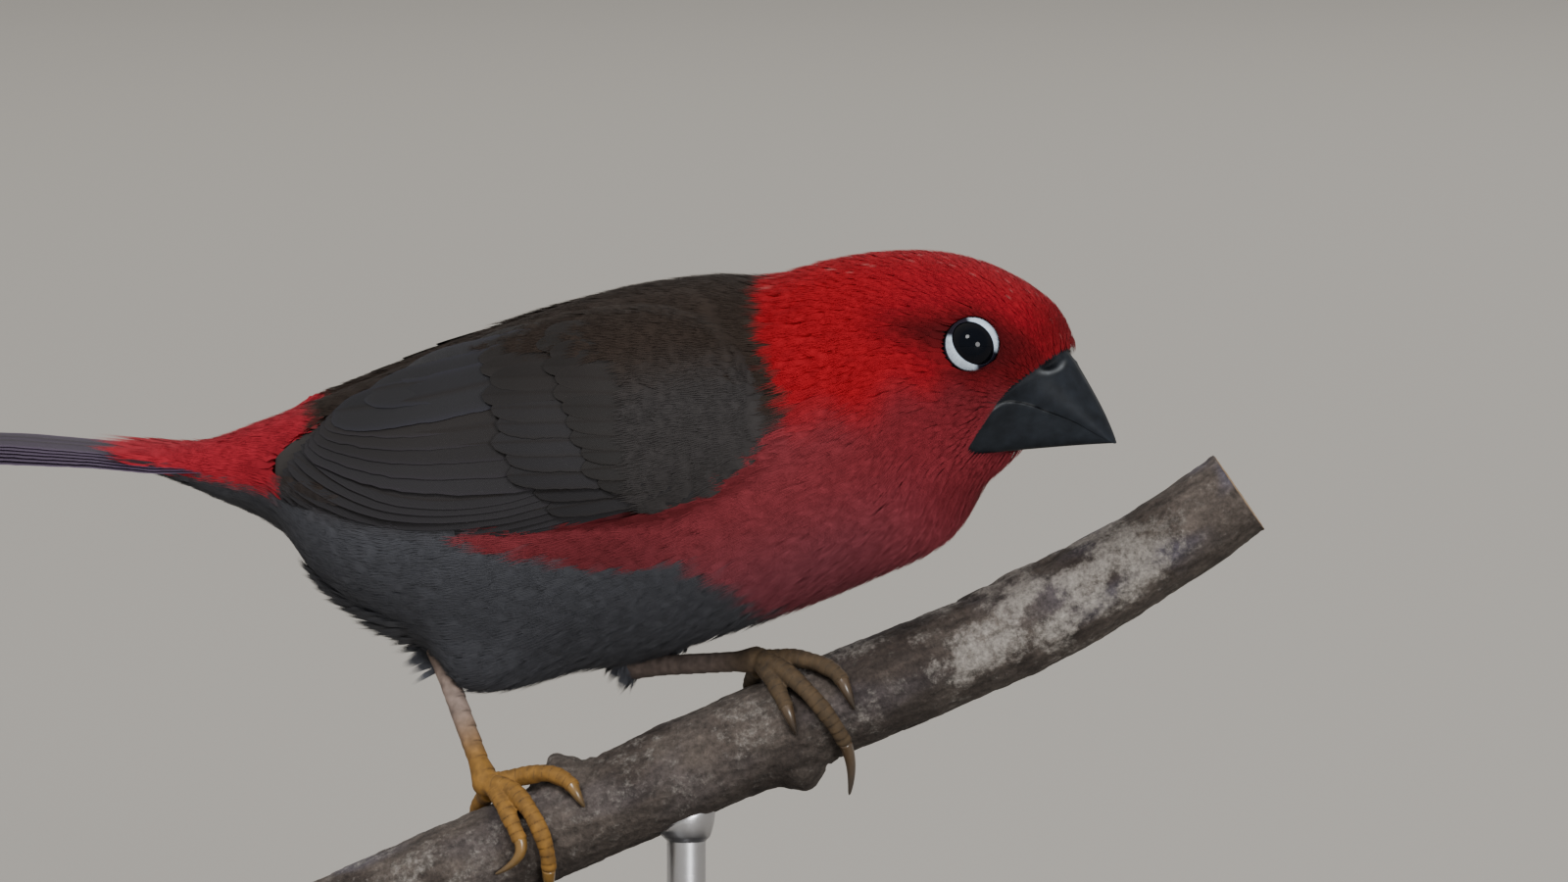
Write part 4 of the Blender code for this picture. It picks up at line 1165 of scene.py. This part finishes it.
def thigh(side):
    """The thigh's surface: p runs from 0 at the heel to 1 at the knee, q is degrees round it."""
    heel, knee = (np.array(LEGS[side][k], float) for k in ("heel", "knee"))
    axis = unit(knee - heel)
    down = unit(np.array((0, 0, -1.0)) + axis * axis[2])
    aside = np.cross(axis, down)

    def surface(p, q, lift=0.0):
        p, q, lift = np.broadcast_arrays(np.asarray(p, float), q, lift)
        share = 1 - p
        swell = 0.1 + 0.9 * ease(0, 0.5, share) - 0.63 * ease(0.3, 1.0, share)
        r = THIGH_RADIUS * swell * np.clip(1.1 + 1.3 * p, 0.5, 1) + lift
        angle = np.radians(q)[..., None]
        around = np.cos(angle) * down + np.sin(angle) * aside
        return heel + (knee - heel) * p[..., None] + r[..., None] * around

    return surface


def skin_and_legs():
    """One skin: body, head and thighs inside the plumage by its depth, and the bare scaly legs."""
    def body_skin(u, v):
        station = SKIN_STATIONS[0] + 14.1 * v
        depth = np.interp(station, (-1, 0, 2, 6, 9, 11, 13), (0.7, 0.9, 1.2, 1.5, 1.0, 0.75, 0.7))
        straight = body_straight(station, 360 * u - 180, -depth)
        straight[:, 0] = np.minimum(straight[:, 0], bill_line(straight[:, 2]) - 0.5)
        middle = body_straight(station, 0.0) * 0.5 + body_straight(station, 180.0) * 0.5
        middle[:, 0] = np.minimum(middle[:, 0], bill_line(middle[:, 2]) - 0.6)
        straight = np.where(at_ends(v)[:, None], middle, straight)
        points = from_bird(turned(straight, ease(*TURN_STATIONS, station)))
        for eye in EYES.values():
            height, flat = off_axis(points, eye)
            flat = np.linalg.norm(flat, axis=1)
            socket = 2.6 * np.clip(1 - (flat / EYE_SOCKET) ** 2, 0, 1) ** 0.5
            inside = ((flat < EYE_SOCKET) & (height > 0))[:, None]
            points = np.where(inside, points - eye[1] * socket[:, None], points)
        return points

    def shin(u, v):
        p = v + 0.04
        line = heel + (knee - heel) * p[:, None]
        return np.where(at_ends(v)[:, None], line, surface(p, 360 * u, -0.7))

    parts = [moulded(180, 200, body_skin)]
    for side, leg in LEGS.items():
        surface = thigh(side)
        heel, knee = np.array(leg["heel"]), np.array(leg["knee"])
        parts.append(moulded(40, 30, shin))
    body = shrink_wrapped(joined("skin", parts), 0.55, 1)
    points = mesh_points(body)
    # The nearest place on the outline gives the marking, and the thighs are slate; the skin is painted a little
    # darker than the plumage, as shade in the gaps between feathers
    stations, degrees = np.meshgrid(np.linspace(*SKIN_STATIONS, 190), np.arange(-180, 180, 3.0))
    tree = spot_tree(bare_body(stations, degrees).reshape(-1, 3))
    nearest = np.array([tree.find(p)[1] for p in points])
    colour = markings(stations.ravel()[nearest], degrees.ravel()[nearest])
    x, _, z = ((points - BIRD_PLACE) @ BIRD_TURN).T
    set_tint(body, np.where(((z < -14) & (x < 16))[:, None], BELLY_SLATE, colour) * 0.85)
    count = len(body.polygons)
    skin = joined("skin", [body, *scaly_legs()])
    on_legs = np.arange(len(skin.polygons)) >= count
    skin.polygons.foreach_set("material_index", on_legs.astype(np.int32))
    limbs = [f"{part}_{name}" for part in ("thigh", "shank", "foot") for name in ("left", "right")]
    piece("skin", skin, (UNDER_SKIN, SCALES), ("trunk", "neck", "head", *limbs))


def thigh_coat():
    """Small slate feathers round both thighs."""
    for side in (-1, 1):
        surface = thigh(side)
        p, q, rng = scatter(surface, (0.06, 0), (1.0, 360), even(0.42), lambda p, q: p < 2, 30000, 80 + side)
        length = (1.0 + 4.2 * p if side < 0 else 2.8 + 2.4 * p) * rng.uniform(0.6, 1.05, len(p))
        vanes = contour_feathers(surface, p, q, rng, length, 0.9, 0.8, 9, all_slate, stray=0.25, flare=0.15,
                                 bake_at=lambda p, q: 0.02 + 0.96 * np.stack(((q % 360) / 360, p), -1))
        feather_piece(f"coat_thigh_{SIDE_NAMES[side]}", vanes, SOFT)


# Branch and stand

def branch():
    """Bark with knots, wrinkles and lichen, and sawn ends with rings."""
    total, cap = BRANCH_LENGTHS[-1], 0.022

    def shape(u, v):
        along = total * np.clip((v - cap) / (1 - 2 * cap), 0, 1)
        inwards = np.minimum(np.minimum(v, 1 - v) / cap, 1)
        centre = branch_frame(along)[0]
        return centre + (on_bark(along, 360 * u) - centre) * (inwards**0.9)[:, None]

    mesh = moulded(144, 560, shape)
    points, normals = mesh_points(mesh), mesh_normals(mesh)
    # The nearest of many places on the axis gives each point its distance along the branch
    last = len(BRANCH_AXIS) - 1
    steps = np.linspace(0, last, 400)
    axis = spline(BRANCH_AXIS, steps)[None, :, :2]
    near = np.linalg.norm(points[:, None, (0, 2)] - axis, axis=-1).argmin(1)
    along = np.interp(steps, np.arange(last + 1), BRANCH_LENGTHS)[near]
    centre, forward, normal, _ = branch_frame(along)
    rel = points - centre
    angle = np.degrees(np.arctan2(-rel[:, 1], np.einsum("ij,ij->i", rel, normal)))
    radians, from_axis = np.radians(angle), np.linalg.norm(rel, axis=1)
    end = np.abs(np.einsum("ij,ij->i", normals, forward)) > 0.7
    lay = np.stack((along, np.cos(radians) * 5, np.sin(radians) * 5), -1)
    coarse = roughness_at(lay * (1, 0.55, 0.55), 5.0, 3, 1.0)
    fine = roughness_at(lay * (0.8, 1.4, 1.4), 1.1, 4, 5.0)
    streak = roughness_at(lay * (0.22, 1.5, 1.5), 1.0, 3, 9.0)
    wrinkle = np.zeros(len(points))
    for knot_along, knot_degrees, _, length, spread in BRANCH_KNOTS:
        r = np.hypot((along - knot_along) / (length * 1.6), wrap(angle - knot_degrees) / (spread * 1.3))
        wrinkle += np.sin(r * 14) * mound(r - 0.9, 0.5) * 0.16
    height = np.where(end, 0.03 * fine, 0.20 * coarse + 0.10 * fine + 0.06 * streak + wrinkle)
    # Where the toes hold on, the bark stays low enough to clear them
    set_points(mesh, points + normals * np.minimum(height, 0.12)[:, None])
    upper = ease(-0.6, 0.6, np.cos(np.radians(angle - 40)))
    amount = np.interp(along, (0, 6, 16, 26, 42, 60, 74, 84, 97, 104),
                       (0.4, 0.62, 0.60, 0.35, 0.36, 0.50, 1.0, 1.35, 1.2, 0.15))
    lichen = ease(-0.55, 0.50, roughness_at(lay * (0.7, 1, 1), 3.6, 4, 21.0)) * (0.25 + 0.75 * upper) * amount
    mesh.attributes.new("lichen", "FLOAT", "POINT").data.foreach_set("value", np.where(end, 0.0, lichen))
    # A purplish painted sheen lies on the top of the bark, strongest towards the ends
    ends = 0.25 + ease(82, 96, along) + 0.7 * (1 - ease(8, 22, along))
    painted_sheen = ease(-0.1, 0.5, roughness_at(lay * (0.5, 1, 1), 5.0, 2, 31.0)) * upper * ends
    # The dark patches spread over the underside as painted shade
    bark = blend((0.086, 0.069, 0.059), (0.045, 0.034, 0.029), ease(-0.3, 0.5, coarse - 0.35 * (1 - upper)))
    bark = blend(bark, (0.082, 0.074, 0.098), np.minimum(painted_sheen, 1) * 0.8)
    # The underside is painted darker still, as shade beneath the branch
    beneath = 0.68 + 0.32 * ease(-0.9, 0.3, np.cos(radians))
    bark = bark * ((1 + 0.35 * fine + 0.30 * streak) * beneath)[:, None]
    rings = 0.5 + 0.5 * np.sin(from_axis * 5.5 + 1.5 * coarse)
    wood = blend((0.42, 0.29, 0.17), (0.30, 0.19, 0.105), rings * 0.8)
    wood = blend(wood, (0.09, 0.06, 0.045), ease(4.2, 4.55, from_axis))
    wood = blend(wood, (0.10, 0.065, 0.04), 1 - ease(0.3, 0.6, from_axis))
    set_tint(mesh, np.clip(np.where(end[:, None], wood, bark), 0, 1))
    piece("bark_branch", mesh, BARK, ("perch_branch",))


def stand():
    """An oval lacquered base with a moulded edge, a steel rod and the small cup that holds the branch."""
    profile = np.array((
        (0, 0.3), (40, 0.3), (44, 0.3), (45.2, 0.6), (45.8, 1.3), (46.9, 1.9), (47, 2.6), (47, 4.0),
        (46.7, 4.9), (46.0, 5.6), (45.0, 6.0), (40, 6.0), (20, 6.0), (0, 6.0)))

    def oval(u, v):
        row = spline(profile, v * (len(profile) - 1))
        inset = BASE_LENGTH / 2 - row[:, 0]
        half_length = np.maximum(BASE_LENGTH / 2 - inset, 0)
        # The rim keeps its width all round, and the flat middle narrows evenly
        half_width = np.where(inset < 16, BASE_WIDTH / 2 - inset, 15 * half_length / 31)
        angle = 2 * math.pi * u
        height = np.clip(row[:, 1], 0.3, 6.0)
        return np.stack((half_length * np.cos(angle), half_width * np.sin(angle), height), -1)

    piece("stand_base_lacquered", moulded(160, 90, oval), LACQUER, ("stand_base",))

    under = on_bark(np.interp(ROD_X, BRANCH_AXIS[:, 0], BRANCH_LENGTHS), 180.0)[2]
    outline = np.array((
        (0, 5.9), (3.4, 5.9), (3.6, 6.4), (3.5, 7.2), (3.0, 7.6), (2.1, 7.8), (2.0, 8.4), (2.0, 18),
        (2.0, under - 3.2), (2.05, under - 2.6), (2.5, under - 2.1), (2.9, under - 1.2), (2.95, under - 0.5),
        (2.6, under - 0.2), (0, under - 0.2)))

    def rod(u, v):
        r, z = spline(outline, v * (len(outline) - 1)).T
        angle = 2 * math.pi * u
        r = np.maximum(r, 0)
        return np.stack((ROD_X + r * np.cos(angle), r * np.sin(angle), z), -1)

    mesh = moulded(56, 120, rod)
    x, y, z = mesh_points(mesh).T
    # The cup follows the slope and curve of the branch's underside
    hug = 0.42 * (x - ROD_X) + 0.06 * y**2
    z = z + np.where(z > under - 2.4, hug * ease(under - 2.4, under - 0.3, z), 0)
    set_points(mesh, np.stack((x, y, z), -1))
    piece("stand_rod_steel", mesh, STEEL, ("stand_rod",))


# Finishes of the bare parts

def tinted_finish(name, roughness, bumps, **values):
    """The piece's own colours with fine bumps: (size in millimetres, strength, height) for each."""
    made = Finish(name, roughness=roughness, **values)
    place = made.place()
    shade = made.sums("MULTIPLY_ADD", made.grain(place, 1500.0, 3.0), 0.5, 0.75)
    made.wire({"Base Color": made.lit(made.tint(), shade)})
    normal = None
    for size, strength, height in bumps:
        normal = made.bump(made.grain(place, 1000.0 / size, 4.0), strength, height * MM, normal)
        made.wire({"Normal": normal})
    return made.material


HORN = tinted_finish("bill_horn", 0.60, ((0.9, 0.25, 0.05), (0.25, 0.15, 0.02)), Specular_IOR_Level=0.15)
EYE = tinted_finish("eye_gloss", 0.04, (), Specular_IOR_Level=0.13)
LID = tinted_finish("lid_skin", 0.60, ((0.22, 0.5, 0.04),), Specular_IOR_Level=0.2)
SCALES = tinted_finish("leg_scales", 0.30, ((0.35, 0.6, 0.07),), Coat_Weight=0.6, Coat_Roughness=0.18)
CLAW = tinted_finish("claw_horn", 0.30, ((0.5, 0.3, 0.03),), Coat_Weight=0.3, Coat_Roughness=0.2)


def bark_finish():
    """Grey-brown bark with pale lichen in fine broken patches where the branch's lichen amount says so."""
    made = Finish("bark", roughness=0.8, Specular_IOR_Level=0.3)
    place = made.place()
    broken, grain = made.grain(place, 900.0, 9.0, 0.78), made.grain(place, 2200.0, 6.0, 0.7)
    amount = made.add("Attribute", out="Fac", attribute_name="lichen")
    mask = made.add("MapRange", {"Value": made.sums("MULTIPLY_ADD", amount, 0.26, broken), "From Min": 0.56,
                                 "From Max": 0.90}, interpolation_type="SMOOTHSTEP")
    shade = made.sums("MULTIPLY_ADD", grain, 2.2, -0.12)
    colour = made.add("Mix", {"Factor": mask, 6: made.tint(), 7: (*LICHEN_GREY, 1)}, out=2, data_type="RGBA")
    made.wire({"Base Color": made.lit(colour, shade),
               "Normal": made.bump(grain, 0.9, 0.00012, made.bump(broken, 1.0, 0.00035))})
    return made.material


BARK = bark_finish()
UNDER_SKIN = tinted_finish("skin_under_plumage", 0.85, ((0.8, 0.4, 0.1),))


def plain_finishes():
    """The wing's underside, black lacquer with a wood grain, brushed steel and the floor."""
    under = Finish("wing_underside", (0.018, 0.015, 0.014), 0.8)
    under.wire({"Normal": under.bump(under.grain(under.place(), 900.0), 0.3, 0.0001)})

    lacquer = Finish("stand_lacquer", (0.02, 0.02, 0.022), 0.32)
    grain = lacquer.grain(lacquer.place((1.0, 9.0, 9.0)), 260.0, 6.0)
    tones = {"Factor": grain, 6: (0.012, 0.011, 0.011, 1), 7: (0.034, 0.031, 0.030, 1)}
    lacquer.wire({"Base Color": lacquer.add("Mix", tones, out=2, data_type="RGBA"),
                  "Normal": lacquer.bump(grain, 0.25, 0.00005)})

    steel = Finish("brushed_steel", (0.52, 0.52, 0.54), 0.34, Metallic=1.0)
    lines = steel.grain(steel.place((0.5, 0.5, 14.0)), 500.0, 5.0)
    steel.wire({"Roughness": steel.sums("MULTIPLY_ADD", lines, 0.25, 0.22),
                "Normal": steel.bump(lines, 0.2, 0.00003)})

    floor = Finish("pale_floor", (0.36, 0.34, 0.31), 0.75)
    return [one.material for one in (under, lacquer, steel, floor)]


UNDER, LACQUER, STEEL, FLOOR = plain_finishes()


# Camera, lights and floor

def surroundings():
    """The pale floor, the camera of the photograph, three soft lights and an even surround."""
    link = bpy.context.scene.collection.objects.link
    plane = bmesh.new()
    bmesh.ops.create_circle(plane, cap_ends=True, segments=64, radius=9.0)
    mesh = bpy.data.meshes.new("floor")
    plane.to_mesh(mesh)
    plane.free()
    mesh.materials.append(FLOOR)
    floor = bpy.data.objects.new("floor", mesh)
    link(floor)

    lens = bpy.data.cameras.new("camera")
    lens.sensor_width, lens.lens = 36.0, 247.5
    lens.clip_start, lens.clip_end = 0.05, 50
    camera = bpy.data.objects.new("camera", lens)
    elevation, distance, target = math.radians(5), 1.1, (0.011, 0.0, 0.0693)
    camera.location = np.array(target) + distance * np.array((0, -math.cos(elevation), math.sin(elevation)))
    camera.rotation_euler = (math.pi / 2 - elevation, 0, 0)
    link(camera)
    bpy.context.scene.camera = camera

    lights = (("key", (-1.0, -1.8, 2.0), 0.8, 53.5), ("front", (1.0, -2.3, 0.45), 0.9, 41.5),
              ("back", (0.6, 2.0, 1.8), 1.4, 22.0))
    for name, place, size, power in lights:
        light = bpy.data.lights.new(name, "AREA")
        light.shape, light.size, light.energy = "DISK", size, power
        lamp = bpy.data.objects.new(name, light)
        lamp.location = place
        lamp.rotation_euler = (Vector(place) - Vector(target)).to_track_quat("Z", "Y").to_euler()
        link(lamp)
    world = bpy.data.worlds.new("studio")
    world.use_nodes = True
    background = world.node_tree.nodes["Background"].inputs
    background[0].default_value, background[1].default_value = (0.86, 0.84, 0.80, 1), 0.62
    bpy.context.scene.world = world


def main():
    """Makes every piece."""
    surroundings()
    skin_and_legs()
    body_coat()
    thigh_coat()
    for side in (-1, 1):
        folded_wing(side)
        eyeball(side)
    tail_feathers()
    bill_half(True)
    bill_half(False)
    claws()
    branch()
    stand()


main()
